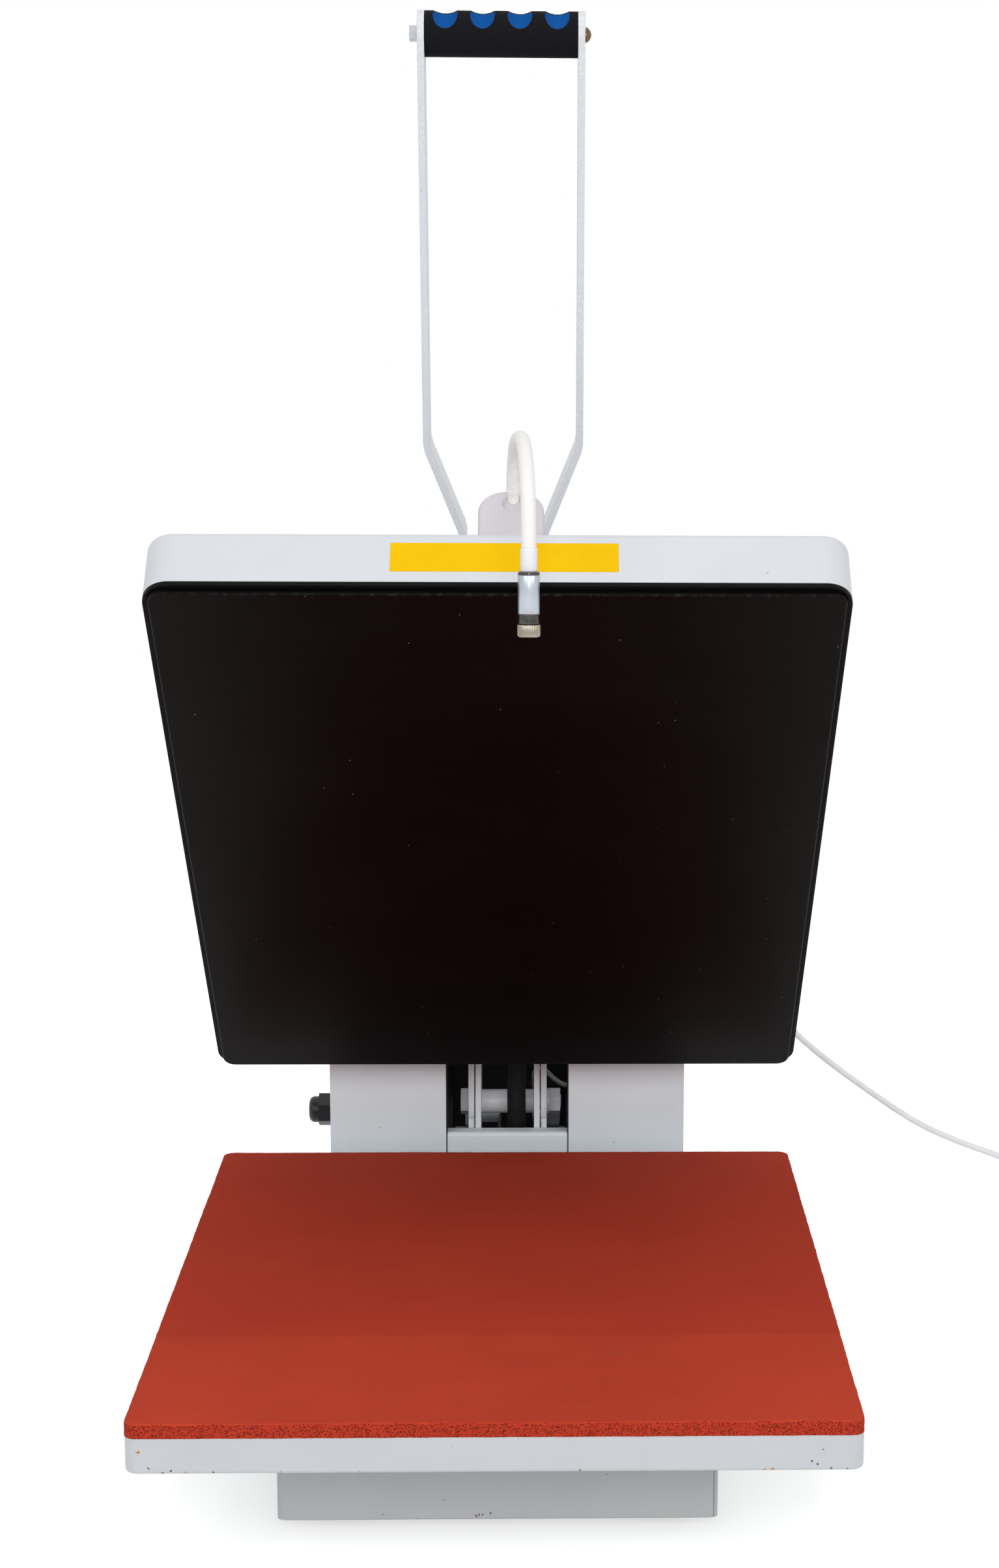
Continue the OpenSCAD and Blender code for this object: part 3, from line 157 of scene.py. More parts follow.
FLOOR_HALF = 3.0
floor_mesh = bpy.data.meshes.new("floor")
floor_mesh.from_pydata([(-FLOOR_HALF, -FLOOR_HALF, 0), (FLOOR_HALF, -FLOOR_HALF, 0), (FLOOR_HALF, FLOOR_HALF, 0),
                        (-FLOOR_HALF, FLOOR_HALF, 0)], [], [(0, 1, 2, 3)])
floor = bpy.data.objects.new("floor", floor_mesh)
scene.collection.objects.link(floor)
floor_white, tree = new_material("floor_white")
matt = add(tree, "BsdfDiffuse", {"Color": (0.86, 0.86, 0.86, 1)})
glow = add(tree, "Emission", {"Color": (1, 1, 1, 1), "Strength": 0.52})
lit = add(tree, "AddShader", {0: matt.outputs[0], 1: glow.outputs[0]})
path = add(tree, "LightPath").outputs
shown = add(tree, "Math", {0: path["Is Camera Ray"], 1: path["Is Glossy Ray"]}, operation="MAXIMUM").outputs[0]
near = add(tree, "MixShader", {0: shown, 1: matt.outputs[0], 2: lit.outputs[0]})
spot = add(tree, "TexCoord").outputs["Object"]
away = add(tree, "VectorMath", {0: spot}, operation="LENGTH").outputs["Value"]
fade = add(tree, "MapRange", {"Value": away, "From Min": 0.9, "From Max": 2.0}, interpolation_type="SMOOTHSTEP")
clear = add(tree, "BsdfTransparent")
blend = add(tree, "MixShader", {0: fade.outputs[0], 1: near.outputs[0], 2: clear.outputs[0]})
add(tree, "OutputMaterial", {"Surface": blend.outputs[0]})
floor_mesh.materials.append(floor_white)

# The base is a folded steel tray on four rubber feet, closed below by a thin plate. It is powder coated
# pale grey, with one fold seam at its right front corner and a chip at its lower front edge.


def group(name, takes, gives):
    """A shader group with named sockets: (tree, its input sockets by name, the node that its results go to)."""
    made = bpy.data.node_groups.new(name, "ShaderNodeTree")
    kinds = {"f": "NodeSocketFloat", "c": "NodeSocketColor", "v": "NodeSocketVector"}
    for word, kind in takes.items():
        made.interface.new_socket(word, in_out="INPUT", socket_type=kinds[kind])
    for word, kind in gives.items():
        made.interface.new_socket(word, in_out="OUTPUT", socket_type=kinds[kind])
    return made, made.nodes.new("NodeGroupInput").outputs, made.nodes.new("NodeGroupOutput").inputs


def calc(tree, how, a, b=0.0, c=0.0):
    """One Math node's result."""
    return add(tree, "Math", {0: a, 1: b, 2: c}, operation=how).outputs[0]


def noise(tree, where, scale, detail=3.0, rough=0.5):
    """Noise from 0 to 1 at the point where."""
    return add(tree, "TexNoise", {"Vector": where, "Scale": scale, "Detail": detail, "Roughness": rough}).outputs["Fac"]


def mixed(tree, share, first, second):
    """The first colour, with that share of the second."""
    m = add(tree, "Mix", {"Factor": share}, data_type="RGBA")
    for socket, value in ((m.inputs[6], first), (m.inputs[7], second)):
        if isinstance(value, bpy.types.NodeSocket):
            tree.links.new(value, socket)
        else:
            socket.default_value = value
    return m.outputs[2]


# Uneven colour: broad noise mixes two colours, and finer noise is added to it.
UNEVEN, g, done = group("uneven_colour", {"Colour": "c", "Second": "c", "Amount": "f", "Scale": "f"}, {"Colour": "c"})
broad = noise(UNEVEN, add(UNEVEN, "TexCoord").outputs["Object"], g["Scale"], 4.0, 0.6)
eased = add(UNEVEN, "MapRange", {"Value": broad, "From Min": 0.3, "From Max": 0.7}).outputs[0]
UNEVEN.links.new(mixed(UNEVEN, calc(UNEVEN, "MULTIPLY", eased, g["Amount"]), g["Colour"], g["Second"]), done["Colour"])

# Worn edges: where the rounded normal leaves the flat one, broken up by noise.
WORN, g, done = group("worn_edges", {"Colour": "c", "Bare": "c", "Amount": "f", "Radius": "f"},
                      {"Colour": "c", "Worn": "f", "Normal": "v"})
spot = add(WORN, "TexCoord").outputs["Object"]
eased = add(WORN, "Bevel", {"Radius": g["Radius"]}, samples=4).outputs[0]
flat = add(WORN, "NewGeometry").outputs["Normal"]
same = add(WORN, "VectorMath", {0: eased, 1: flat}, operation="DOT_PRODUCT").outputs["Value"]
edge = add(WORN, "MapRange", {"Value": same, "From Min": 0.995, "From Max": 0.86}).outputs[0]
broken = add(WORN, "MapRange", {"Value": noise(WORN, spot, 160.0, 4.0, 0.7), "From Min": 0.5, "From Max": 0.66})
worn = calc(WORN, "MULTIPLY", calc(WORN, "MULTIPLY", edge, broken.outputs[0]), g["Amount"])
WORN.links.new(mixed(WORN, worn, g["Colour"], g["Bare"]), done["Colour"])
WORN.links.new(worn, done["Worn"])
WORN.links.new(eased, done["Normal"])

# Specks: a few cells of a cell pattern hold a small dot of dust or a nick.
SPECKS, g, done = group("specks", {"Colour": "c", "Speck": "c", "Scale": "f", "Share": "f"}, {"Colour": "c", "Mask": "f"})
spot = add(SPECKS, "TexCoord").outputs["Object"]
cells = add(SPECKS, "TexVoronoi", {"Vector": spot, "Scale": g["Scale"]}, feature="F1").outputs
chosen = calc(SPECKS, "LESS_THAN", add(SPECKS, "SeparateColor", {"Color": cells["Color"]}).outputs[0], g["Share"])
dot = calc(SPECKS, "LESS_THAN", cells["Distance"], 0.16)
mask = calc(SPECKS, "MULTIPLY", chosen, dot)
SPECKS.links.new(mixed(SPECKS, mask, g["Colour"], g["Speck"]), done["Colour"])
SPECKS.links.new(mask, done["Mask"])

# A chip: a ragged spot of that size round one place.
CHIP, g, done = group("chip", {"Colour": "c", "Bare": "c", "Place": "v", "Size": "f"}, {"Colour": "c", "Mask": "f"})
spot = add(CHIP, "TexCoord").outputs["Object"]
gap = add(CHIP, "VectorMath", {0: spot, 1: g["Place"]}, operation="DISTANCE").outputs["Value"]
ragged = calc(CHIP, "MULTIPLY", noise(CHIP, spot, 700.0), 0.0030)
mask = calc(CHIP, "LESS_THAN", calc(CHIP, "ADD", gap, ragged), calc(CHIP, "ADD", g["Size"], 0.0013))
CHIP.links.new(mixed(CHIP, mask, g["Colour"], g["Bare"]), done["Colour"])
CHIP.links.new(mask, done["Mask"])


def use(tree, which, sockets):
    """One shader group placed in a material."""
    placed = tree.nodes.new("ShaderNodeGroup")
    placed.node_tree = which
    for name, value in sockets.items():
        if isinstance(value, bpy.types.NodeSocket):
            tree.links.new(value, placed.inputs[name])
        else:
            placed.inputs[name].default_value = value
    return placed.outputs


BROWN, OCHRE, SLATE = colour(96, 76, 58), colour(190, 128, 52), colour(84, 86, 92)


def chipped(tree, tone, chips):
    """Small chips in the coat at the given places, each (x, y, z, size, what shows there)."""
    for x, y, z, size, bare in chips:
        tone = use(tree, CHIP, {"Colour": tone, "Bare": bare, "Place": (x, y, z), "Size": size})["Colour"]
    return tone


def coated(name, tone, peel=900.0, depth=0.00004, rough=0.42, wear=0.25, bare=colour(120, 116, 108), chips=(),
           sparkle=0.0, ease=0.0006, seams=(), shine=0.4, painted_shade_inside=None):
    """Powder coat or paint: uneven colour, worn edges, dust specks, and an orange-peel bump of that scale and depth.
    Where the last argument gives a distance from the middle and one from the front, what lies inside both is coloured
    dark grey, as painted shade of the channel's shadowed inside."""
    material, tree = new_material(name)
    darker = tuple(c * 0.93 for c in tone[:3]) + (1,)
    shade = use(tree, UNEVEN, {"Colour": tone, "Second": darker, "Amount": 0.7, "Scale": 14.0})["Colour"]
    shade = use(tree, SPECKS, {"Colour": shade, "Speck": tuple(c * 0.6 for c in tone[:3]) + (1,), "Scale": 260.0,
                               "Share": 0.012})["Colour"]
    edges = use(tree, WORN, {"Colour": shade, "Bare": bare, "Amount": wear, "Radius": ease})
    shade = chipped(tree, edges["Colour"], chips)
    spot = add(tree, "TexCoord").outputs["Object"]
    for seam in seams:
        x, _, _ = add(tree, "SeparateXYZ", {"Vector": spot}).outputs
        line = calc(tree, "LESS_THAN", calc(tree, "ABSOLUTE", calc(tree, "SUBTRACT", x, seam)), 0.00035)
        shade = mixed(tree, calc(tree, "MULTIPLY", line, 0.55), shade, colour(70, 72, 76))
    # Painted shade: faces inside the channel get a dark grey colour that stands for the shadow falling there.
    if painted_shade_inside:
        x, y, _ = add(tree, "SeparateXYZ", {"Vector": spot}).outputs
        within = calc(tree, "MULTIPLY", calc(tree, "LESS_THAN", calc(tree, "ABSOLUTE", x), painted_shade_inside[0]),
                      calc(tree, "LESS_THAN", y, painted_shade_inside[1]))
        shade = mixed(tree, within, shade, colour(32, 32, 36))
    peeled = noise(tree, spot, peel, 2.0, 0.5)
    gloss = add(tree, "MapRange", {"Value": noise(tree, spot, 45.0), "To Min": rough - 0.06, "To Max": rough + 0.1})
    sockets = {"Base Color": shade, "Roughness": gloss.outputs[0], "IOR": 1.5, "Specular IOR Level": shine}
    if sparkle:
        flakes = add(tree, "TexVoronoi", {"Vector": spot, "Scale": 2600.0}, feature="F1").outputs["Color"]
        bright = calc(tree, "GREATER_THAN", add(tree, "SeparateColor", {"Color": flakes}).outputs[0], 1 - sparkle)
        sockets["Base Color"] = mixed(tree, bright, shade, colour(250, 251, 252))
        sockets["Metallic"] = calc(tree, "MULTIPLY", bright, 0.5)
    bump = add(tree, "Bump", {"Height": peeled, "Distance": depth, "Normal": edges["Normal"]})
    sockets["Normal"] = bump.outputs[0]
    add(tree, "OutputMaterial", {"Surface": add(tree, "BsdfPrincipled", sockets).outputs[0]})
    return material


def moulded(name, tone, rough=0.5, grain=1400.0, depth=0.00003, shine=0.4, second=None, mottle=0.5, ease=0.0004,
            cloud=30.0):
    """Moulded plastic or rubber: uneven colour, eased edges and a fine spark-eroded grain."""
    material, tree = new_material(name)
    second = second or tuple(c * 0.8 for c in tone[:3]) + (1,)
    shade = use(tree, UNEVEN, {"Colour": tone, "Second": second, "Amount": mottle, "Scale": cloud})["Colour"]
    edges = use(tree, WORN, {"Colour": shade, "Bare": tuple(min(1, c * 1.5 + 0.02) for c in tone[:3]) + (1,),
                             "Amount": 0.3, "Radius": ease})
    spot = add(tree, "TexCoord").outputs["Object"]
    gloss = add(tree, "MapRange", {"Value": noise(tree, spot, 60.0), "To Min": rough - 0.07, "To Max": rough + 0.08})
    bump = add(tree, "Bump", {"Height": noise(tree, spot, grain, 2.0), "Distance": depth, "Normal": edges["Normal"]})
    add(tree, "OutputMaterial", {"Surface": add(tree, "BsdfPrincipled", {
        "Base Color": edges["Colour"], "Roughness": gloss.outputs[0], "Specular IOR Level": shine,
        "Normal": bump.outputs[0]}).outputs[0]})
    return material


def metal(name, tone, rough=0.3, along=(30.0, 900.0, 900.0), depth=0.00001, stain=None, ease=0.0003):
    """Plated or turned metal: stretched noise for its tool marks, a little staining, and eased edges."""
    material, tree = new_material(name)
    stain = stain or tuple(c * 0.7 for c in tone[:3]) + (1,)
    shade = use(tree, UNEVEN, {"Colour": tone, "Second": stain, "Amount": 0.6, "Scale": 90.0})["Colour"]
    edges = use(tree, WORN, {"Colour": shade, "Bare": colour(225, 225, 222), "Amount": 0.4, "Radius": ease})
    spot = add(tree, "TexCoord").outputs["Object"]
    lines = noise(tree, add(tree, "Mapping", {"Vector": spot, "Scale": along}).outputs[0], 1.0, 3.0)
    gloss = add(tree, "MapRange", {"Value": lines, "To Min": rough - 0.08, "To Max": rough + 0.14})
    bump = add(tree, "Bump", {"Height": lines, "Distance": depth, "Normal": edges["Normal"]})
    add(tree, "OutputMaterial", {"Surface": add(tree, "BsdfPrincipled", {
        "Base Color": edges["Colour"], "Metallic": 1.0, "Roughness": gloss.outputs[0],
        "Normal": bump.outputs[0]}).outputs[0]})
    return material


def dress(material, *names):
    """Gives CAD nodes a finish."""
    for name in names:
        node[name].data.materials.clear()
        node[name].data.materials.append(material)


BASE_FRONT = -0.281
base_coat = coated("base_coat", colour(197, 199, 201), seams=[0.1225], chips=[
    (-0.0122, BASE_FRONT, 0.0116, 0.0009, BROWN), (-0.0106, BASE_FRONT, 0.0122, 0.0009, BROWN),
    (-0.0088, BASE_FRONT, 0.0126, 0.0007, BROWN), (-0.0041, BASE_FRONT, 0.0132, 0.0006, SLATE)])
dress(base_coat, "base_chassis")
dress(metal("bottom_plate_zinc", colour(168, 170, 168), 0.4), "bottom_plate")
dress(moulded("foot_rubber", colour(26, 26, 28), 0.75, 900.0), "rubber_feet")
zinc = metal("zinc_plate", colour(188, 191, 196), 0.28)
dress(zinc, "frame_bolts")

# The lower platen is an aluminium casting under a white coat with a coarse orange peel, and it has small
# brown chips along its lower edge.
TRAY_FRONT = -0.3544
tray_coat = coated("tray_coat", colour(198, 202, 206), peel=420.0, depth=0.00022, rough=0.38, ease=0.0009, chips=[
    (x, TRAY_FRONT, z, size, bare) for x, z, size, bare in (
        (-0.1914, 0.0817, 0.0010, OCHRE), (-0.1862, 0.0727, 0.0008, SLATE), (-0.1741, 0.0711, 0.0009, BROWN),
        (-0.1785, 0.0698, 0.0007, BROWN), (-0.1663, 0.0698, 0.0010, OCHRE), (-0.1516, 0.0698, 0.0009, BROWN),
        (0.0455, 0.0698, 0.0010, BROWN), (0.0518, 0.0698, 0.0007, BROWN), (0.1450, 0.0700, 0.0009, OCHRE),
        (0.1492, 0.0700, 0.0010, OCHRE), (0.1706, 0.0748, 0.0007, SLATE), (0.1739, 0.0729, 0.0007, SLATE),
        (0.1766, 0.0811, 0.0007, SLATE), (0.1815, 0.0703, 0.0009, SLATE), (0.1900, 0.0700, 0.0008, BROWN))])
dress(tray_coat, "lower_platen")

# The pad is a sheet of red-brown silicone foam, stuck on the casting. Its cut sides show open cells and
# its cut edge is a little uneven. A shallow crease runs across it, left by the upper platen.


def piece(name, points, faces, material, uv=None, smooth_below=40):
    """A new object from points and faces, its faces turned outwards by the sign of the volume that they hold."""
    tri = np.array([f[:3] for f in faces] + [(f[0], f[2], f[3]) for f in faces if len(f) == 4])
    a, b, c = points[tri[:, 0]], points[tri[:, 1]], points[tri[:, 2]]
    if np.einsum("ij,ij->i", a, np.cross(b, c)).sum() < 0:
        faces = [f[::-1] for f in faces]
        uv = None if uv is None else [u[::-1] for u in uv]
    mesh = bpy.data.meshes.new(name)
    mesh.from_pydata(points.tolist(), [], faces)
    if uv is not None:
        layer = mesh.uv_layers.new(name="along_and_round")
        layer.data.foreach_set("uv", np.concatenate([np.array(u, float).ravel() for u in uv]).astype(np.float32))
    mesh.polygons.foreach_set("use_smooth", np.ones(len(mesh.polygons), bool))
    mesh.set_sharp_from_angle(angle=math.radians(smooth_below))
    mesh.materials.append(material)
    mesh.validate()
    made = bpy.data.objects.new(name, mesh)
    scene.collection.objects.link(made)
    return made


def skin(name, rings, material, loop=False, smooth_below=40):
    """Rings of points (n, m, 3) joined into a closed skin: each ring runs round into itself. The end rings are
    closed with a point at their middle, or with loop the last ring runs on into the first."""
    n, m, _ = rings.shape
    index = np.arange(n * m).reshape(n, m)
    rows = np.vstack([index, index[:1]]) if loop else index
    nxt = np.roll(rows, -1, axis=1)
    quads = np.stack([rows[:-1], nxt[:-1], nxt[1:], rows[1:]], axis=-1).reshape(-1, 4)
    step = np.linalg.norm(np.diff(rings.mean(axis=1), axis=0), axis=1)
    run = np.concatenate([[0], np.cumsum(step), [step.sum()]])[:len(rows)]
    row, col = np.divmod(np.arange((len(rows) - 1) * m), m)
    uv = np.stack([np.stack([run[row + dr], (col + dc) / m], axis=-1)
                   for dr, dc in ((0, 0), (0, 1), (1, 1), (1, 0))], axis=1).tolist()
    points, faces = rings.reshape(-1, 3), quads.tolist()
    if not loop:
        points = np.vstack([points, rings[0].mean(axis=0), rings[-1].mean(axis=0)])
        ends = [np.stack([nxt[0], index[0], np.full(m, n * m)], -1),
                np.stack([index[-1], nxt[-1], np.full(m, n * m + 1)], -1)]
        faces += ends[0].tolist() + ends[1].tolist()
        uv += [[(0, 0)] * 3] * m + [[(float(run[-1]), 0)] * 3] * m
    return piece(name, points, faces, material, uv, smooth_below)


def rounded_outline(half_w, half_l, radius, per_corner):
    """Points round a rectangle with round corners: four corner arcs, and straight sides cut into equal steps."""
    half_w, half_l, radius = (np.asarray(v, float)[..., None] for v in (half_w, half_l, radius))
    turn = np.linspace(0, math.pi / 2, per_corner)
    x, y = [], []
    for k, (sx, sy) in enumerate(((1, 1), (-1, 1), (-1, -1), (1, -1))):
        angle = turn + k * math.pi / 2
        x.append(sx * (half_w - radius) + radius * np.cos(angle))
        y.append(sy * (half_l - radius) + radius * np.sin(angle))
    return np.concatenate(x, -1), np.concatenate(y, -1)


def waves(x, y, seed, size, count=9):
    """A smooth uneven surface: a sum of plane waves of random directions, with lengths round the given size."""
    rng = np.random.default_rng(seed)
    total = np.zeros(np.broadcast(x, y).shape)
    for _ in range(count):
        angle, length, phase = rng.uniform(0, 2 * math.pi), size * rng.uniform(0.5, 1.6), rng.uniform(0, 2 * math.pi)
        total += np.sin(2 * math.pi * (x * math.cos(angle) + y * math.sin(angle)) / length + phase)
    return total / count ** 0.5


def even_outline(half_w, half_l, radius, count):
    """The same outline cut into count equal steps, so that a fine wave along the edge has points to bend it."""
    x, y = rounded_outline(half_w, half_l, radius, 9)
    x, y = np.append(x, x[..., :1], -1), np.append(y, y[..., :1], -1)
    run = np.concatenate([[0], np.cumsum(np.hypot(np.diff(x), np.diff(y)))])
    at = np.linspace(0, run[-1], count, endpoint=False)
    return np.interp(at, run, x), np.interp(at, run, y)


low, high = (np.array(c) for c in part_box("silicone_pad"))
PAD_MID = (low + high) / 2
PAD_HALF = (high - low) / 2
PAD_CREASE_Y = -0.222
PAD_R, PAD_AROUND = 0.007, 720
edge_x, edge_y = even_outline(PAD_HALF[0] - 0.0004, PAD_HALF[1] - 0.0004, PAD_R, PAD_AROUND)
round_x, round_y = edge_x + PAD_MID[0], edge_y + PAD_MID[1]
nudge = 0.00010 * waves(edge_x, edge_y, 5, 0.016)
outward = np.stack([edge_x / PAD_HALF[0], edge_y / PAD_HALF[1]])
outward = np.sign(outward) * np.abs(outward) ** 12
outward /= np.linalg.norm(outward, axis=0)
inset = np.array([0.09, 0.02, 0.0008, 0.0, 0.0001, 0.0, 0.0002, 0.0009, 0.004, 0.010, 0.020, 0.035, 0.055, 0.08,
                  0.11, 0.14, 0.17, 0.198])
lift = np.array([0, 0, 0, 0.0006, 0.35, 0.7, 0.92, 1.0] + [1.0] * 10)
thick = high[2] - low[2]
rings = []
for d, h in zip(inset, lift):
    shrink_x, shrink_y = 1 - d / PAD_HALF[0], 1 - d / PAD_HALF[1]
    x = edge_x * shrink_x + PAD_MID[0] + (nudge * outward[0] if 0 < h < 1 else 0)
    y = edge_y * shrink_y + PAD_MID[1] + (nudge * outward[1] if 0 < h < 1 else 0)
    z = low[2] + np.full(PAD_AROUND, (h if h < 1 else 1.0) * (thick - 0.0005))
    if h >= 0.9:
        crease = np.exp(-((y - PAD_CREASE_Y) / 0.004) ** 2)
        z = z + 0.00016 * waves(x, y, 11, 0.11) + 0.00005 * waves(edge_x, edge_y, 3, 0.012) * (d < 0.005) - 0.0003 * crease
    rings.append(np.stack([x, y, z], -1))
pad_foam, tree = new_material("pad_foam")
spot = add(tree, "TexCoord").outputs["Object"]
facing = add(tree, "SeparateXYZ", {"Vector": add(tree, "NewGeometry").outputs["Normal"]}).outputs[2]
cut = calc(tree, "LESS_THAN", facing, 0.6)
shade = use(tree, UNEVEN, {"Colour": colour(193, 66, 43), "Second": colour(178, 58, 38), "Amount": 0.8,
                           "Scale": 9.0})["Colour"]
shade = mixed(tree, calc(tree, "MULTIPLY", calc(tree, "GREATER_THAN", noise(tree, spot, 1500.0, 2.0), 0.6), 0.35), shade,
              colour(158, 50, 32))
smudge = add(tree, "MapRange", {"Value": noise(tree, spot, 22.0, 5.0, 0.65), "From Min": 0.62, "From Max": 0.75,
                                "To Max": 0.4}).outputs[0]
shade = mixed(tree, smudge, shade, colour(158, 80, 54))
# Painted shade: behind the crease the pad is coloured darker, standing for the shade under the raised platen.
depth_y = add(tree, "SeparateXYZ", {"Vector": spot}).outputs[1]
painted_shade_behind_crease = add(tree, "MapRange", {"Value": depth_y, "From Min": PAD_CREASE_Y - 0.002, "From Max": PAD_CREASE_Y + 0.002,
                                "To Max": 0.35}).outputs[0]
shade = mixed(tree, painted_shade_behind_crease, shade, colour(166, 48, 30))
# The cut sides' open cells are coloured darker towards each pore's middle, as painted shade in the hollows.
pores = add(tree, "TexVoronoi", {"Vector": spot, "Scale": 1100.0, "Randomness": 1.0}, feature="F1").outputs["Distance"]
hole = add(tree, "MapRange", {"Value": pores, "From Min": 0.16, "From Max": 0.5}).outputs[0]
pore_tone_painted_shade = mixed(tree, hole, colour(98, 27, 20), colour(182, 56, 36))
shade = mixed(tree, cut, shade, pore_tone_painted_shade)
grain = calc(tree, "MULTIPLY", noise(tree, spot, 1300.0, 3.0), 0.25)
height = add(tree, "Mix", {0: cut, 2: grain, 3: hole}, data_type="FLOAT").outputs[0]
bump = add(tree, "Bump", {"Height": height, "Distance": 0.0003})
add(tree, "OutputMaterial", {"Surface": add(tree, "BsdfPrincipled", {
    "Base Color": shade, "Roughness": 0.9, "Specular IOR Level": 0.12, "Normal": bump.outputs[0]}).outputs[0]})
pad = skin("silicone_foam_pad", np.array(rings), pad_foam)
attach(pad, "frame")
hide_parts("silicone_pad")

# The rear housings, the channel's front panel and the rear cover are folded sheet under pale grey powder
# coat. The plates of the main hinge stand between them, held by plated bolts that are coated over.
low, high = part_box("channel_panel")
rear_low, rear_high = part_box("rear_cover")
# Painted light: the housings, rear cover and channel panel carry the same paint as the base, but their tone is written
# lighter to make up for the platen's shadow over them.
HOUSING_TONE_PAINTED_LIGHT = colour(228, 236, 241)
# The housings' and rear cover's faces inside the channel are coloured dark grey, as painted shade.
dress(coated("housing_coat", HOUSING_TONE_PAINTED_LIGHT, peel=1100.0, depth=0.00003, rough=0.46,
             painted_shade_inside=(high[0] + 0.0007, rear_low[1])), "left_housing", "right_housing")
dress(coated("rear_cover_coat", HOUSING_TONE_PAINTED_LIGHT, peel=1100.0, depth=0.00003, rough=0.46,
             painted_shade_inside=(1.0, (rear_low[1] + rear_high[1]) / 2)), "rear_cover")
panel_coat = coated("channel_panel_coat", HOUSING_TONE_PAINTED_LIGHT, peel=1000.0, depth=0.00003, rough=0.44,
                    bare=colour(120, 122, 124), seams=[low[0] + 0.0002, high[0] - 0.0002], chips=[
                        (0.0408, 0.1180, 0.1204, 0.0009, SLATE), (0.0424, 0.1176, 0.1180, 0.0008, SLATE),
                        (0.0436, 0.1174, 0.1150, 0.0008, SLATE)])
dress(panel_coat, "channel_panel")
plate_coat = coated("plate_coat", colour(222, 226, 230), peel=900.0, depth=0.00004, rough=0.4, wear=0.5)
dress(plate_coat, "hinge_bracket_left", "hinge_bracket_right")
bolt_coat = coated("bolt_coat", colour(222, 226, 230), peel=700.0, depth=0.00006, rough=0.35, wear=0.6,
                   bare=colour(96, 92, 84))
dress(bolt_coat, "pivot_bolts", "pivot_nuts")

# The control panel slopes on the right housing: a moulded fascia, a dark window over the numerals, a red and
# two green push buttons, and a red rocker switch. A circuit board hangs behind it.
fascia = moulded("fascia_plastic", colour(52, 56, 62), 0.5, 1200.0, 0.00002)
dress(fascia, "control_panel")
smoked, tree = new_material("smoked_window")
shade = use(tree, UNEVEN, {"Colour": colour(30, 6, 8), "Second": colour(18, 4, 6), "Amount": 0.8, "Scale": 50.0})["Colour"]
spot = add(tree, "TexCoord").outputs["Object"]
clean = add(tree, "MapRange", {"Value": noise(tree, spot, 70.0), "To Min": 0.05, "To Max": 0.16}).outputs[0]
add(tree, "OutputMaterial", {"Surface": add(tree, "BsdfPrincipled", {
    "Base Color": shade, "Roughness": clean, "Coat Weight": 0.5, "IOR": 1.49}).outputs[0]})
dress(smoked, "display_window")
dress(moulded("button_red", colour(190, 32, 30), 0.42, 900.0), "button_set")
dress(moulded("button_green", colour(38, 128, 74), 0.42, 900.0), "button_up", "button_down")
dress(moulded("rocker_red", colour(176, 22, 22), 0.3, 900.0, 0.00001), "power_rocker")
dress(moulded("circuit_board", colour(26, 84, 48), 0.45, 700.0, 0.00004, cloud=160.0), "control_electronics")

# Cables. The black nylon gland on the left takes the mains cord, which isn't fitted. The pointer lamp's thin
# white lead leaves the right housing through a grommet, drops to the floor and is wound into a tied coil.


def smooth_line(points, steps):
    """A Catmull-Rom curve through the points: each span is the cubic that passes both its ends and leans
    along the line between their neighbours, cut into equal steps."""
    p = np.array(points, float)
    a, b = np.vstack([p[:1], p[:-2]]), p[:-1]
    c, d = p[1:], np.vstack([p[2:], p[-1:]])
    t = (np.arange(steps) / steps)[None, :, None]
    a, b, c, d = (v[:, None, :] for v in (a, b, c, d))
    line = 0.5 * (2 * b + (c - a) * t + (2 * a - 5 * b + 4 * c - d) * t ** 2 + (3 * b - a - 3 * c + d) * t ** 3)
    return np.vstack([line.reshape(-1, 3), p[-1:]])


def tube_rings(line, radius, around=20, lobes=None):
    """Circles of the given radius along a line. Each ring's side direction is the last one's, made square to the
    line again, so that the tube never twists. radius may change along the line and, with lobes, round it."""
    line = np.asarray(line, float)
    way = np.empty_like(line)
    way[1:-1] = line[2:] - line[:-2]
    way[0], way[-1] = line[1] - line[0], line[-1] - line[-2]
    way /= np.linalg.norm(way, axis=1)[:, None]
    side = np.empty_like(line)
    s = np.cross(way[0], (0, 0, 1) if abs(way[0][2]) < 0.9 else (1, 0, 0))
    for i, w in enumerate(way):
        s = s - (s @ w) * w
        s /= np.linalg.norm(s)
        side[i] = s
    other = np.cross(way, side)
    turn = np.linspace(0, 2 * math.pi, around, endpoint=False)
    r = np.broadcast_to(np.asarray(radius, float).reshape(-1, 1), (len(line), around))
    if lobes is not None:
        r = r + lobes(turn)[None]
    return (line[:, None] + r[..., None] * (side[:, None] * np.cos(turn)[None, :, None]
                                            + other[:, None] * np.sin(turn)[None, :, None]))


gland_nylon = moulded("gland_nylon", colour(22, 22, 24), 0.38, 900.0, 0.00002)
dress(gland_nylon, "cable_gland")
soft_rubber = moulded("soft_rubber", colour(24, 24, 26), 0.6, 900.0)
dress(soft_rubber, "lead_grommet")

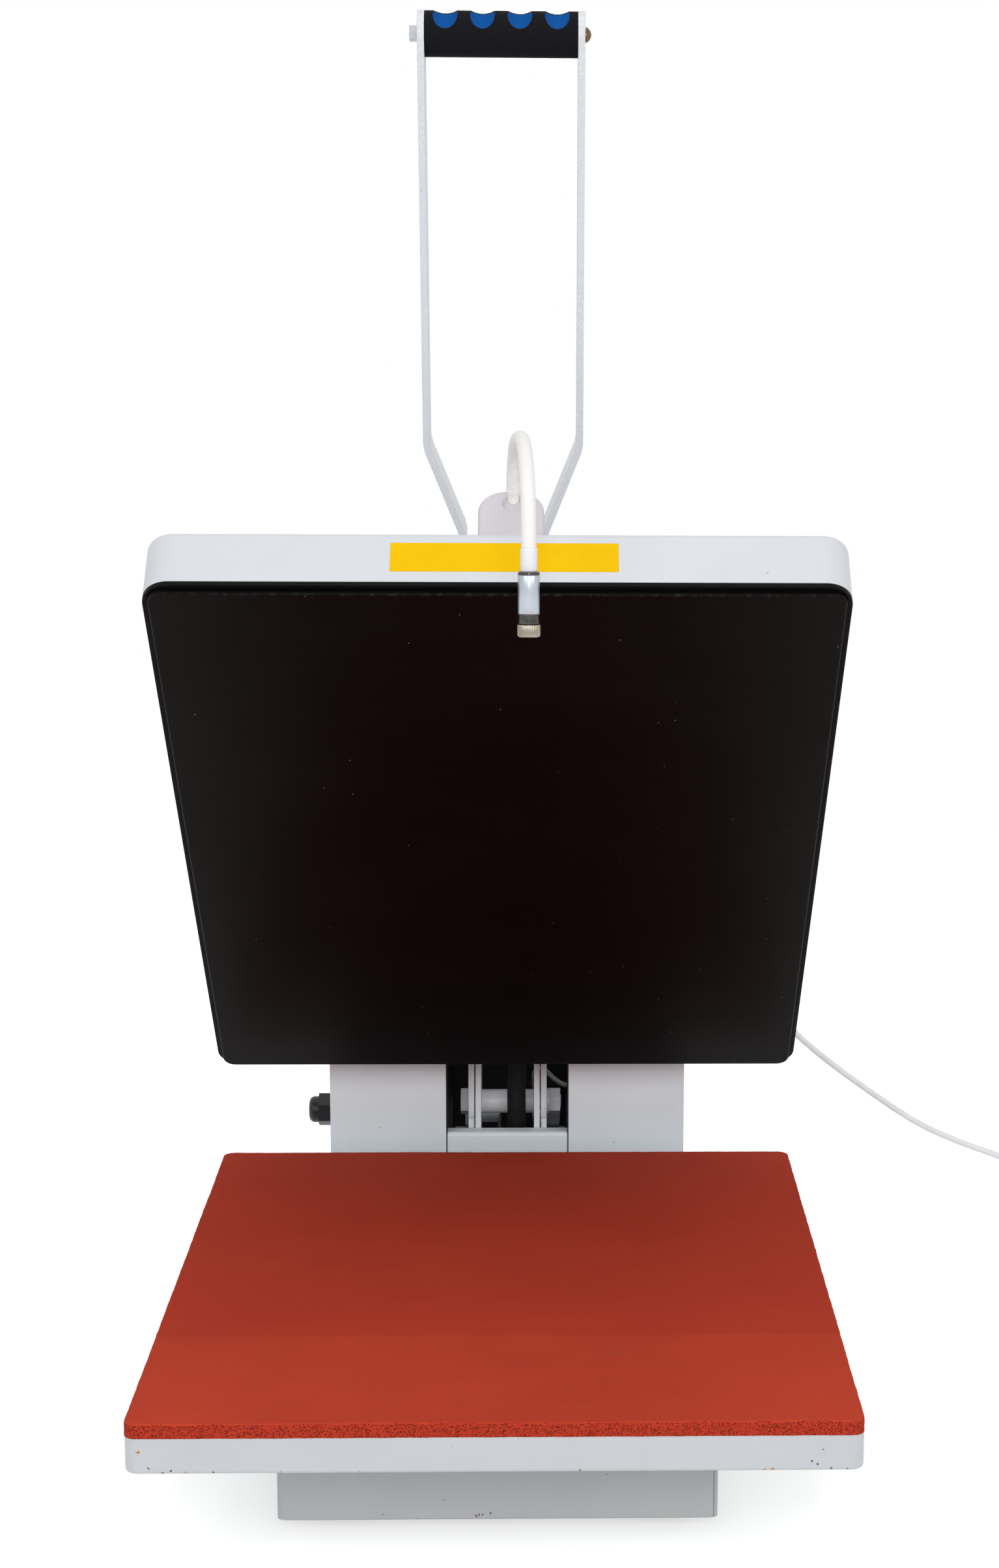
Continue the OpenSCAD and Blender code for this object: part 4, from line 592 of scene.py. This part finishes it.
LEAD_R = 0.0023
COIL_MID, COIL_R, COIL_PITCH, COIL_TURNS, TURN_STEPS = (0.500, 0.334), 0.034, 0.0058, 3, 24
LEAD_Z, LAYER = 0.0024, 0.0055
drop = smooth_line([
    (0.1245, 0.300, 0.206), (0.133, 0.300, 0.206), (0.150, 0.300, 0.204), (0.170, 0.300, 0.194),
    (0.195, 0.300, 0.170), (0.222, 0.300, 0.1405), (0.258, 0.300, 0.111), (0.309, 0.300, 0.0755),
    (0.345, 0.300, 0.058), (0.377, 0.300, 0.046), (0.400, 0.300, 0.035), (0.420, 0.300, 0.025),
    (0.440, 0.300, 0.015), (0.460, 0.300, 0.007), (0.480, 0.300, 0.0030), (0.496, 0.300, 0.0024),
    (0.500, 0.300, 0.0024)], 3)


def coil_points(radius, degrees, height):
    """Points of the coil: a circle's angle and radius round the coil's middle."""
    a = np.radians(degrees)
    return np.stack([COIL_MID[0] + radius * np.cos(a), COIL_MID[1] + radius * np.sin(a), height + 0 * a], -1)


laps = np.arange(COIL_TURNS * TURN_STEPS + 1) / TURN_STEPS
half = np.arange(1, TURN_STEPS // 2 + 1) * 2 / TURN_STEPS
inner = COIL_R - COIL_TURNS * COIL_PITCH
winds = np.vstack([
    coil_points(COIL_R - COIL_PITCH * laps, 360 * laps - 90, LEAD_Z),
    coil_points(inner + 0 * half, 180 * half - 90, LEAD_Z + LAYER * (3 - 2 * half) * half ** 2),
    coil_points(inner + COIL_PITCH * laps[1:], 360 * laps[1:] + 90, LEAD_Z + LAYER),
    [(x, COIL_MID[1] + COIL_R + dy, LEAD_Z + LAYER - dz) for x, dy, dz in
     ((0.492, 0, 0.0001), (0.486, -0.0002, 0.0012), (0.480, -0.0004, 0.0025), (0.474, -0.0005, 0.0029))]])
lead_line = np.vstack([drop, winds[1:]])
lead_white, tree = new_material("lead_white")
shade = use(tree, UNEVEN, {"Colour": colour(236, 236, 238), "Second": colour(214, 214, 214), "Amount": 0.6,
                           "Scale": 40.0})["Colour"]
spot = add(tree, "TexCoord").outputs["Object"]
gloss = add(tree, "MapRange", {"Value": noise(tree, spot, 80.0), "To Min": 0.32, "To Max": 0.5}).outputs[0]
bump = add(tree, "Bump", {"Height": noise(tree, spot, 500.0, 2.0), "Distance": 0.00003})
add(tree, "OutputMaterial", {"Surface": add(tree, "BsdfPrincipled", {
    "Base Color": shade, "Roughness": gloss, "Normal": bump.outputs[0]}).outputs[0]})
lead = skin("pointer_lead", tube_rings(lead_line, LEAD_R, 14), lead_white)
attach(lead, "frame")
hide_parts("laser_lead", "lead_coil")

# A soft tapered sleeve with four ribs keeps the lead from bending sharply at its grommet.
relief_line = drop[2:13]
run = np.concatenate([[0], np.cumsum(np.linalg.norm(np.diff(relief_line, axis=0), axis=1))])
fine = np.linspace(0, 0.021, 43)
relief_line = np.stack([np.interp(fine, run, relief_line[:, k]) for k in range(3)], -1)
relief_r = 0.0042 - 0.0014 * fine / fine[-1] + 0.0003 * (np.sin(fine / 0.0042 * 2 * math.pi) > 0) * (fine > 0.002)
relief = skin("lead_strain_relief", tube_rings(relief_line, relief_r, 24), soft_rubber, smooth_below=30)
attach(relief, "frame")

# The tie is a flat black strap round all the turns on the coil's far side.
tie_black = moulded("tie_black", colour(20, 20, 22), 0.55, 1500.0, 0.00003)
TIE_WIDE, TIE_THICK = 0.005, 0.0006
tie_r, tie_z = rounded_outline(0.0119, 0.0051, 0.0024, 6)
tie_r, tie_z = tie_r + COIL_MID[0] + 0.0254, tie_z + 0.0053
loop_way = np.stack([np.roll(tie_r, -1) - np.roll(tie_r, 1), np.roll(tie_z, -1) - np.roll(tie_z, 1)], -1)
loop_way /= np.linalg.norm(loop_way, axis=1)[:, None]
out_r, out_z = loop_way[:, 1], -loop_way[:, 0]
section = [(-1, 0), (-1, 1), (1, 1), (1, 0)]
rings = np.stack([np.stack([tie_r + out_r * TIE_THICK * (o - 0.5), COIL_MID[1] + s * TIE_WIDE / 2 + 0 * tie_r,
                            tie_z + out_z * TIE_THICK * (o - 0.5)], -1) for s, o in section], 1)
tie = skin("coil_tie", rings, tie_black, loop=True, smooth_below=35)
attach(tie, "frame")

# The plug is a small black barrel plug with a plated tip, moulded on the lead's end.
PLUG_TIP_X = 0.4505
barrel, tree = new_material("barrel_plug")
spot = add(tree, "TexCoord").outputs["Object"]
tip = calc(tree, "LESS_THAN", add(tree, "SeparateXYZ", {"Vector": spot}).outputs[0], PLUG_TIP_X)
black_shade = use(tree, UNEVEN, {"Colour": colour(24, 24, 26), "Second": colour(14, 14, 15), "Amount": 0.7,
                                 "Scale": 120.0})["Colour"]
edges = use(tree, WORN, {"Colour": mixed(tree, tip, black_shade, colour(190, 190, 186)), "Bare": colour(120, 120, 118),
                         "Amount": 0.3, "Radius": 0.0004})
gloss = add(tree, "MapRange", {"Value": noise(tree, spot, 300.0), "To Min": 0.3, "To Max": 0.5}).outputs[0]
add(tree, "OutputMaterial", {"Surface": add(tree, "BsdfPrincipled", {
    "Base Color": edges["Colour"], "Metallic": tip, "Roughness": gloss, "Normal": edges["Normal"]}).outputs[0]})
dress(barrel, "lead_plug")

# The heater's cable is a bundle in a black braided sleeve. It leaves the channel behind the hinge tube, bends
# up over the hinge and runs along the arm, so it is shaped between the frame and the arm.
HINGE = np.array([0.0, 0.218, 0.114])
OPEN = math.radians(47.3)


def from_hinge(x, ahead, up):
    """A point given by its distance to the right, ahead of and above the main hinge, in millimetres."""
    return HINGE + np.array([x, -ahead, up]) / 1000


def on_open_arm(x, ahead, up):
    """The same for a point that is given on the closed arm and turned up with it."""
    return from_hinge(x, ahead * math.cos(OPEN) - up * math.sin(OPEN), ahead * math.sin(OPEN) + up * math.cos(OPEN))


cable_line = smooth_line([
    on_open_arm(7, 74, 13), on_open_arm(7, 66, 13), on_open_arm(7, 58, 13), from_hinge(7, 19, 32),
    from_hinge(6.5, 18, 14), from_hinge(6.5, 17, -2), from_hinge(6.5, 9, -20), from_hinge(8, -6, -26.5),
    from_hinge(11, -22, -26.5), from_hinge(11, -42, -23), from_hinge(9, -62, -18), from_hinge(9.5, -78, -16),
    from_hinge(16, -88.5, -16), from_hinge(28, -92, -16), from_hinge(40, -92, -16), from_hinge(50, -92, -16)], 12)
braid, tree = new_material("braided_sleeve")
uv = add(tree, "UVMap", uv_map="along_and_round").outputs[0]
along, round_, _ = add(tree, "SeparateXYZ", {"Vector": uv}).outputs
STRANDS = 16
lay_a = calc(tree, "ADD", calc(tree, "MULTIPLY", along, 420.0), calc(tree, "MULTIPLY", round_, float(STRANDS)))
lay_b = calc(tree, "SUBTRACT", calc(tree, "MULTIPLY", along, 420.0), calc(tree, "MULTIPLY", round_, float(STRANDS)))
wave_a = calc(tree, "ABSOLUTE", calc(tree, "SINE", calc(tree, "MULTIPLY", lay_a, math.pi)))
wave_b = calc(tree, "ABSOLUTE", calc(tree, "SINE", calc(tree, "MULTIPLY", lay_b, math.pi)))
# The strand crowns are coloured lighter than the gaps between strands, as painted shade in the gaps.
over = calc(tree, "MULTIPLY", wave_a, wave_b)
shade = mixed(tree, over, colour(4, 4, 5), colour(12, 12, 13))
bump = add(tree, "Bump", {"Height": over, "Distance": 0.0004})
add(tree, "OutputMaterial", {"Surface": add(tree, "BsdfPrincipled", {
    "Base Color": shade, "Roughness": calc(tree, "SUBTRACT", 0.75, calc(tree, "MULTIPLY", over, 0.2)),
    "Specular IOR Level": 0.3, "Normal": bump.outputs[0]}).outputs[0]})
cable = skin("heater_cable_sleeve", tube_rings(cable_line, 0.0067, 28), braid)
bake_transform(cable)
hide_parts("heater_cable")

# A thin grey earth wire arches behind the hinge plates, from the frame to the right housing.
earth_line = smooth_line([from_hinge(*p) for p in (
    (20, -58, -62), (20, -58, -54), (20, -57, -40), (20, -52, -18), (19, -43, 3), (20, -37, 12.5), (26, -34, 15),
    (34, -31, 8.5), (41, -29, 4.5), (45, -29, 4), (49, -29, 4))], 8)
earth_grey = moulded("earth_wire_grey", colour(196, 196, 190), 0.45, 700.0, 0.00003)
earth = skin("earth_wire_tube", tube_rings(earth_line, 0.0018, 14), earth_grey)
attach(earth, "frame")
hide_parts("earth_wire")

# The swinging arm is two steel plates round a hinge tube and a shouldered bar, under the same coat. The nut
# block between them is plain steel. A gas strut under the arm takes the platen's weight.
arm_coat = coated("arm_coat", colour(220, 224, 228), peel=800.0, depth=0.00005, rough=0.38, wear=0.4)
dress(arm_coat, "arm_plate_left", "arm_plate_right", "arm_spacers")
bright_steel = metal("bright_steel", colour(178, 180, 182), 0.3)
dress(bright_steel, "nut_block", "strut_rod", "toggle_crank", "toggle_link", "suspension_bridge")
dress(zinc, "strut_arm_pins", "pivot_shaft", "bridge_bolts")
dress(coated("strut_black", colour(26, 26, 28), peel=600.0, depth=0.00003, rough=0.28, bare=colour(110, 110, 108)),
      "strut_cylinder")

# The handle: two flat bars, spread at their tops, under a light grey coat with metal flakes.
bar_coat = coated("bar_coat", colour(216, 219, 223), peel=500.0, depth=0.00012, rough=0.34, wear=0.4, sparkle=0.03)
dress(bar_coat, "handle_bar_left", "handle_bar_right")

# The grip is a foam tube, black outside and blue inside. Four finger hollows are ground into its front, so
# that the blue shows through with a ragged rim.
LEAN = math.radians(11.4)
PIVOT = np.array([0.0, 0.130872, 0.305741])
GRIP_R, GRIP_HALF, SKIN_DEEP = 0.01375, 0.0467, 0.0010
HOLLOW_R, WHEEL_R, HOLLOW_DEEP = 0.0081, 0.120, 0.0060
HOLLOWS = (-0.03405, -0.01135, 0.01135, 0.03405)
ahead, up = 0.0248, 0.560
grip_mid = PIVOT + np.array([0, -(ahead * math.cos(LEAN) + up * math.sin(LEAN)),
                             -ahead * math.sin(LEAN) + up * math.cos(LEAN)])
WHEEL_AWAY = GRIP_R - HOLLOW_DEEP + WHEEL_R + HOLLOW_R
grip_x = np.linspace(-GRIP_HALF, GRIP_HALF, 269)
turn = np.linspace(0, 2 * math.pi, 240, endpoint=False)
X, T = np.meshgrid(grip_x, turn, indexing="ij")
from_wheel = np.full(X.shape, GRIP_R)
for middle in HOLLOWS:
    reach = np.maximum(HOLLOW_R ** 2 - (X - middle) ** 2, 0)
    wheel = WHEEL_R + np.sqrt(reach)
    slope = T - math.radians(29.5)
    under = wheel ** 2 - (WHEEL_AWAY * np.sin(slope)) ** 2
    ground = WHEEL_AWAY * np.cos(slope) - np.sqrt(np.maximum(under, 0))
    met = (reach > 0) & (under > 0) & (np.cos(slope) > 0)
    from_wheel = np.where(met, np.minimum(from_wheel, ground), from_wheel)
depth_in = GRIP_R - from_wheel
radius = from_wheel + 0.00004 * waves(X * 1.0, T * GRIP_R, 21, 0.0022, 14)
surface = np.stack([grip_mid[0] + X, grip_mid[1] - radius * np.sin(T), grip_mid[2] + radius * np.cos(T)], -1)
BORE = 0.0027


def grip_ring(x, r):
    """A plain ring of the grip at one place along it."""
    return np.stack([grip_mid[0] + x + 0 * turn, grip_mid[1] - r * np.sin(turn), grip_mid[2] + r * np.cos(turn)], -1)


rings = np.concatenate([[grip_ring(-GRIP_HALF, BORE)], surface, [grip_ring(GRIP_HALF, BORE)]])
foam_two, tree = new_material("grip_foam")
deep = add(tree, "Attribute", attribute_name="ground_deep").outputs["Fac"]
spot = add(tree, "TexCoord").outputs["Object"]
ragged = calc(tree, "MULTIPLY", calc(tree, "SUBTRACT", noise(tree, spot, 1100.0, 3.0, 0.7), 0.5), 0.0010)
blue_shows = calc(tree, "GREATER_THAN", calc(tree, "ADD", deep, ragged), SKIN_DEEP)
black_foam = mixed(tree, noise(tree, spot, 2200.0, 2.0), colour(7, 7, 9), colour(29, 29, 34))
blue_foam = mixed(tree, noise(tree, spot, 900.0, 3.0), colour(0, 76, 148), colour(2, 92, 172))
grain = noise(tree, spot, 1800.0, 3.0)
bump = add(tree, "Bump", {"Height": grain, "Distance": 0.00025})
add(tree, "OutputMaterial", {"Surface": add(tree, "BsdfPrincipled", {
    "Base Color": mixed(tree, blue_shows, black_foam, blue_foam), "Roughness": 0.92, "Specular IOR Level": 0.12,
    "Normal": bump.outputs[0]}).outputs[0]})
grip = skin("grip_foam_tube", rings, foam_two, loop=True, smooth_below=50)
deep_values = np.concatenate([np.zeros(240), depth_in.ravel(), np.zeros(240)]).astype(np.float32)
grip.data.attributes.new("ground_deep", "FLOAT", "POINT").data.foreach_set("value", deep_values)
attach(grip, "handle")
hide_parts("grip_sleeve", "grip_core")
dress(metal("bolt_brass", colour(118, 98, 68), 0.26, stain=colour(66, 52, 36)), "grip_bolt")
dress(zinc, "grip_nut")

# The upper platen: a folded white cover, a black rim below it, and an aluminium heater plate with a dark
# non-stick coat. The heating tube and its fibre blanket lie inside.
cover_coat = coated("cover_coat", colour(210, 214, 219), peel=520.0, depth=0.00010, rough=0.4)
dress(cover_coat, "platen_cover")
dress(coated("rim_black", colour(6, 6, 7), peel=700.0, depth=0.00005, rough=0.5, bare=colour(40, 40, 40),
             ease=0.001, shine=0.08), "rim_gasket")
coat_dark, tree = new_material("non_stick_coat")
spot = add(tree, "TexCoord").outputs["Object"]
shade = use(tree, UNEVEN, {"Colour": colour(7, 3, 3), "Second": colour(15, 10, 10), "Amount": 0.8, "Scale": 7.0})["Colour"]
shade = use(tree, SPECKS, {"Colour": shade, "Speck": colour(120, 120, 122), "Scale": 400.0, "Share": 0.004})["Colour"]
# The worn edge's bare grey is raised so that it also stands for the highlight along the plate's rounded rim: partly
# wear, partly painted highlight.
edges = use(tree, WORN, {"Colour": shade, "Bare": colour(108, 108, 112), "Amount": 0.7, "Radius": 0.0014})
brushed = noise(tree, add(tree, "Mapping", {"Vector": spot, "Scale": (6.0, 500.0, 500.0)}).outputs[0], 1.0, 3.0)
gloss = add(tree, "MapRange", {"Value": brushed, "To Min": 0.34, "To Max": 0.5}).outputs[0]
bump = add(tree, "Bump", {"Height": noise(tree, spot, 900.0, 3.0), "Distance": 0.00004, "Normal": edges["Normal"]})
add(tree, "OutputMaterial", {"Surface": add(tree, "BsdfPrincipled", {
    "Base Color": edges["Colour"], "Roughness": gloss, "Specular IOR Level": 0.06, "Normal": bump.outputs[0]}).outputs[0]})
dress(coat_dark, "heater_plate")
dress(metal("element_steel", colour(120, 112, 104), 0.45), "heating_element")
dress(moulded("fibre_blanket", colour(216, 210, 190), 0.95, 500.0, 0.0006, cloud=60.0), "insulation_blanket")
dress(soft_rubber, "heater_grommet")

# A plain yellow label without words sits on the cover's front wall.
LABEL_X, LABEL_W, LABEL_LOW, LABEL_HIGH = 0.0033, 0.1311, 0.0144, 0.0365
COVER_FRONT, LABEL_THICK = -0.2535, 0.00015


def on_platen(x, y, t):
    """Points of the open upper platen: x across, y back from its middle, t up from the heater's face, in metres."""
    ahead, up = 0.323 - y, -0.0146 + t
    return np.stack([x + 0 * ahead, HINGE[1] - (ahead * math.cos(OPEN) - up * math.sin(OPEN)),
                     HINGE[2] + (ahead * math.sin(OPEN) + up * math.cos(OPEN))], -1)


label_x, label_t = rounded_outline(LABEL_W / 2, (LABEL_HIGH - LABEL_LOW) / 2, 0.0010, 6)
label_x, label_t = label_x + LABEL_X, label_t + (LABEL_LOW + LABEL_HIGH) / 2
rings = np.stack([on_platen(label_x, np.full(label_x.shape, COVER_FRONT - y), label_t)
                  for y in (-0.0002, LABEL_THICK * 0.7, LABEL_THICK)])
rings[2] = rings[2] + (rings[2].mean(axis=0) - rings[2]) * 0.0008
label_yellow, tree = new_material("label_yellow")
spot = add(tree, "TexCoord").outputs["Object"]
shade = use(tree, UNEVEN, {"Colour": colour(242, 194, 0), "Second": colour(233, 184, 4), "Amount": 0.7, "Scale": 25.0})["Colour"]
gloss = add(tree, "MapRange", {"Value": noise(tree, spot, 90.0), "To Min": 0.3, "To Max": 0.45}).outputs[0]
bump = add(tree, "Bump", {"Height": noise(tree, spot, 420.0, 2.0), "Distance": 0.00006})
add(tree, "OutputMaterial", {"Surface": add(tree, "BsdfPrincipled", {
    "Base Color": shade, "Roughness": gloss, "Specular IOR Level": 0.04, "Normal": bump.outputs[0]}).outputs[0]})
label = skin("blank_label", rings, label_yellow)
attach(label, "platen")

# The pressure setting: a steel screw through the nut block, turned by a black lobed knob.
dress(bright_steel, "pressure_screw")
dress(moulded("knob_black", colour(24, 24, 26), 0.45, 900.0, 0.00004), "pressure_knob")

# The pointer lamp stands on a lilac-grey moulded housing, on a neck that stays as it is bent. The neck is a
# wound metal hose inside a matt white sleeve, a little dirty near its foot.
ROOT = np.array([0.008, -0.119, 0.574])
BASE_HALF, BASE_TALL, BASE_FOOT, DOME_ACROSS, DOME_UP = 0.01925, 0.0380, 0.0455, 0.016, 0.0155
BASE_BACK, BASE_FRONT, BACK_ROUND, FRONT_ROUND = -0.215, -0.248, 0.008, 0.0022


def dome_ring(y, inset):
    """The housing's front outline at depth y, its walls moved in by inset: two elliptic shoulders on a straight foot."""
    bend = np.linspace(0, math.pi / 2, 14)
    rise = BASE_TALL - DOME_UP + (DOME_UP - inset) * np.sin(bend)
    out = BASE_HALF - DOME_ACROSS + (DOME_ACROSS - inset) * np.cos(bend)
    x = np.concatenate([[BASE_HALF - inset], out, -out[::-1], [inset - BASE_HALF]])
    t = BASE_FOOT + np.concatenate([[0.0], rise, rise[::-1], [0.0]])
    return on_platen(x + 0.0068, np.full(x.shape, y), t)


bend = np.linspace(0, math.pi / 2, 7)
stations = [(BASE_BACK - BACK_ROUND * (1 - math.cos(b)), BACK_ROUND * (1 - math.sin(b))) for b in bend]
stations += [(BASE_FRONT + FRONT_ROUND * (1 - math.sin(b)), FRONT_ROUND * (1 - math.cos(b))) for b in bend]
lilac = moulded("lilac_plastic", colour(206, 200, 207), 0.5, 900.0, 0.00003, second=colour(195, 189, 197))
pointer_housing = skin("pointer_housing", np.stack([dome_ring(y, inset) for y, inset in stations]), lilac, smooth_below=50)
turn = np.linspace(0, 2 * math.pi, 48, endpoint=False)
dish = np.stack([on_platen(0.008 + r * np.cos(turn), np.full(48, BASE_FRONT - y), 0.0733 + r * np.sin(turn))
                 for y, r in ((-0.0026, 0.0052), (0.004, 0.0090))])
sheath = np.stack([ROOT + np.stack([0.0043 * np.cos(turn), 0.0043 * np.sin(turn), np.full(48, z)], -1) for z in (-0.016, 0.03)])
for cutter in (skin("dish_cutter", dish, lilac), skin("neck_cutter", sheath, lilac)):
    cut = pointer_housing.modifiers.new("cut", "BOOLEAN")
    cut.object, cut.operation, cut.solver = cutter, "DIFFERENCE", "EXACT"
    done = bpy.data.meshes.new_from_object(pointer_housing.evaluated_get(bpy.context.evaluated_depsgraph_get()))
    pointer_housing.modifiers.clear()
    pointer_housing.data = done
    bpy.data.objects.remove(cutter)
pointer_housing.data.set_sharp_from_angle(angle=math.radians(38))
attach(pointer_housing, "platen")
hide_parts("laser_base")
NECK_END = np.array([0.0176, -0.248, 0.557])
LAMP_WAY = np.array([0.0, -0.04013, -0.99919])
LAMP_WAY = LAMP_WAY / np.linalg.norm(LAMP_WAY)
SLEEVE_L, LAMP_L, RING_L = 0.0125, 0.0285, 0.007


def bent(a, b, c, d, steps):
    """A cubic Bezier curve in equal steps of its parameter, without its first point."""
    t = (np.arange(1, steps + 1) / steps)[:, None]
    a, b, c, d = (np.array(p) / 1000 for p in (a, b, c, d))
    return a * (1 - t) ** 3 + 3 * b * t * (1 - t) ** 2 + 3 * c * t ** 2 * (1 - t) + d * t ** 3


neck_line = ROOT + np.vstack([
    [(0, 0, -0.0157), (0, 0, -0.008), (0, 0, 0)],
    bent((0, 0, 0), (0, 0, 32), (2, -25, 39.5), (5, -62, 39.5), 48),
    bent((5, -62, 39.5), (8, -100, 39.5), (9.6, -127, 15), (9.6, -129, -17), 54)])
neck_line = np.vstack([neck_line, NECK_END + LAMP_WAY * 0.006, NECK_END + LAMP_WAY * SLEEVE_L])
neck_white, tree = new_material("neck_sleeve")
spot = add(tree, "TexCoord").outputs["Object"]
lengthwise = add(tree, "SeparateXYZ", {"Vector": add(tree, "UVMap", uv_map="along_and_round").outputs[0]}).outputs[0]
foot = add(tree, "MapRange", {"Value": lengthwise, "From Min": 0.01, "From Max": 0.075, "To Min": 0.75, "To Max": 0.12})
dirt = add(tree, "MapRange", {"Value": noise(tree, spot, 190.0, 5.0, 0.65), "From Min": 0.45, "From Max": 0.75}).outputs[0]
shade = mixed(tree, calc(tree, "MULTIPLY", dirt, foot.outputs[0]), colour(238, 237, 235), colour(206, 198, 184))
gloss = add(tree, "MapRange", {"Value": noise(tree, spot, 130.0), "To Min": 0.55, "To Max": 0.72}).outputs[0]
bump = add(tree, "Bump", {"Height": noise(tree, spot, 350.0, 4.0), "Distance": 0.00012})
add(tree, "OutputMaterial", {"Surface": add(tree, "BsdfPrincipled", {
    "Base Color": shade, "Roughness": gloss, "Normal": bump.outputs[0]}).outputs[0]})
neck = skin("neck_sleeve_tube", tube_rings(neck_line, 0.00415, 28), neck_white)
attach(neck, "platen")
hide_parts("gooseneck")

# The lamp: a white end sleeve, a satin tube in a plain silver wrap with plated ends, and a knurled ring
# that turns to focus it, with a small lens inside. The plated ends' colour is darkened as a painted reflection of a
# dark room.


def turned_profile(stations, around, lobes=None):
    """Rings round the lamp's axis: each station is (distance from the neck's end, radius), in millimetres."""
    stations = np.array(stations) / 1000
    across = np.array([1.0, 0.0, 0.0])
    other = np.cross(LAMP_WAY, across)
    turn = np.linspace(0, 2 * math.pi, around, endpoint=False)
    r = stations[:, 1:2] + (0 if lobes is None else lobes(turn)[None] * stations[:, 2:3] * 1000)
    return (NECK_END + stations[:, :1, None] * LAMP_WAY + r[..., None]
            * (across * np.cos(turn)[None, :, None] + other * np.sin(turn)[None, :, None]))


sleeve_white = moulded("sleeve_white", colour(240, 240, 243), 0.42, 900.0, 0.00002)
sleeve = skin("lamp_end_sleeve", turned_profile(
    [(0.0, 4.2), (0.0, 4.45), (0.3, 4.68), (1.0, 4.7), (12.0, 4.72), (12.45, 4.5), (12.45, 4.2)], 48), sleeve_white,
    loop=True)
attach(sleeve, "platen")
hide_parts("laser_sleeve")

# Painted reflection: the plating's colour and stain are written dark, standing for a dark room mirrored in it.
chrome_darkened_as_reflection = metal("chrome_darkened_as_reflection", colour(92, 90, 88), 0.16, along=(900.0, 900.0, 60.0), stain=colour(48, 46, 44))
wrap_silver = metal("wrap_silver", colour(186, 192, 200), 0.32, along=(900.0, 900.0, 90.0), stain=colour(172, 178, 188))
tube = skin("lamp_tube", turned_profile(
    [(12.6, 2.6), (12.5, 4.0), (12.5, 5.5), (12.8, 5.95), (14.1, 6.0), (14.3, 5.85), (14.4, 5.85), (35.6, 5.85),
     (35.8, 6.0), (38.9, 6.0), (39.1, 5.6), (39.7, 5.6), (39.9, 5.95), (40.7, 5.95), (41.0, 5.6), (41.0, 4.0),
     (45.8, 4.0), (46.0, 3.8), (46.0, 2.6)], 64), chrome_darkened_as_reflection, loop=True, smooth_below=35)
wrap = skin("lamp_wrap", turned_profile(
    [(14.5, 5.86), (14.45, 5.9), (14.5, 5.97), (35.4, 5.97), (35.5, 5.9), (35.4, 5.86)], 64), wrap_silver, loop=True)
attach(tube, "platen")
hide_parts("laser_body")
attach(wrap, "platen")

KNURLS = 36
ring_nickel = metal("ring_nickel", colour(176, 168, 154), 0.24, along=(900.0, 900.0, 80.0), stain=colour(122, 112, 98))
ring = skin("knurled_focus_ring", turned_profile(
    [(41.4, 4.15, 0), (41.35, 5.7, 0), (41.5, 6.1, 0.4), (41.9, 6.25, 1), (47.0, 6.25, 1), (47.5, 6.1, 0.5),
     (47.9, 5.9, 0.1), (48.25, 5.3, 0), (48.3, 4.1, 0), (48.0, 3.8, 0), (47.0, 3.3, 0), (46.7, 2.7, 0),
     (46.5, 2.7, 0), (46.45, 4.15, 0)], KNURLS * 8,
    lobes=lambda a: 0.00012 * np.sign(np.sin(KNURLS * a)) * np.abs(np.sin(KNURLS * a)) ** 0.5), ring_nickel, loop=True,
    smooth_below=32)
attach(ring, "focus_ring")
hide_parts("laser_focus_ring")

lens_glass, tree = new_material("lens_glass")
spot = add(tree, "TexCoord").outputs["Object"]
clean = add(tree, "MapRange", {"Value": noise(tree, spot, 400.0), "To Min": 0.02, "To Max": 0.09}).outputs[0]
tint = use(tree, UNEVEN, {"Colour": colour(228, 226, 232), "Second": colour(214, 208, 222), "Amount": 0.6,
                          "Scale": 300.0})["Colour"]
add(tree, "OutputMaterial", {"Surface": add(tree, "BsdfPrincipled", {
    "Base Color": tint, "Roughness": clean, "Transmission Weight": 0.6, "IOR": 1.5, "Coat Weight": 0.6}).outputs[0]})
bulge = np.linspace(0, 1, 7)
lens_stations = [(45.6, 0.4), (45.5, 1.6), (45.6, 2.5)] + [(45.7 + 0.9 * math.sqrt(1 - (b * 0.999) ** 2), 2.5 * b)
                                                          for b in bulge[::-1][1:-1]] + [(46.6, 0.15)]
glass = skin("pointer_lens", turned_profile(lens_stations, 40), lens_glass, smooth_below=60)
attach(glass, "platen")
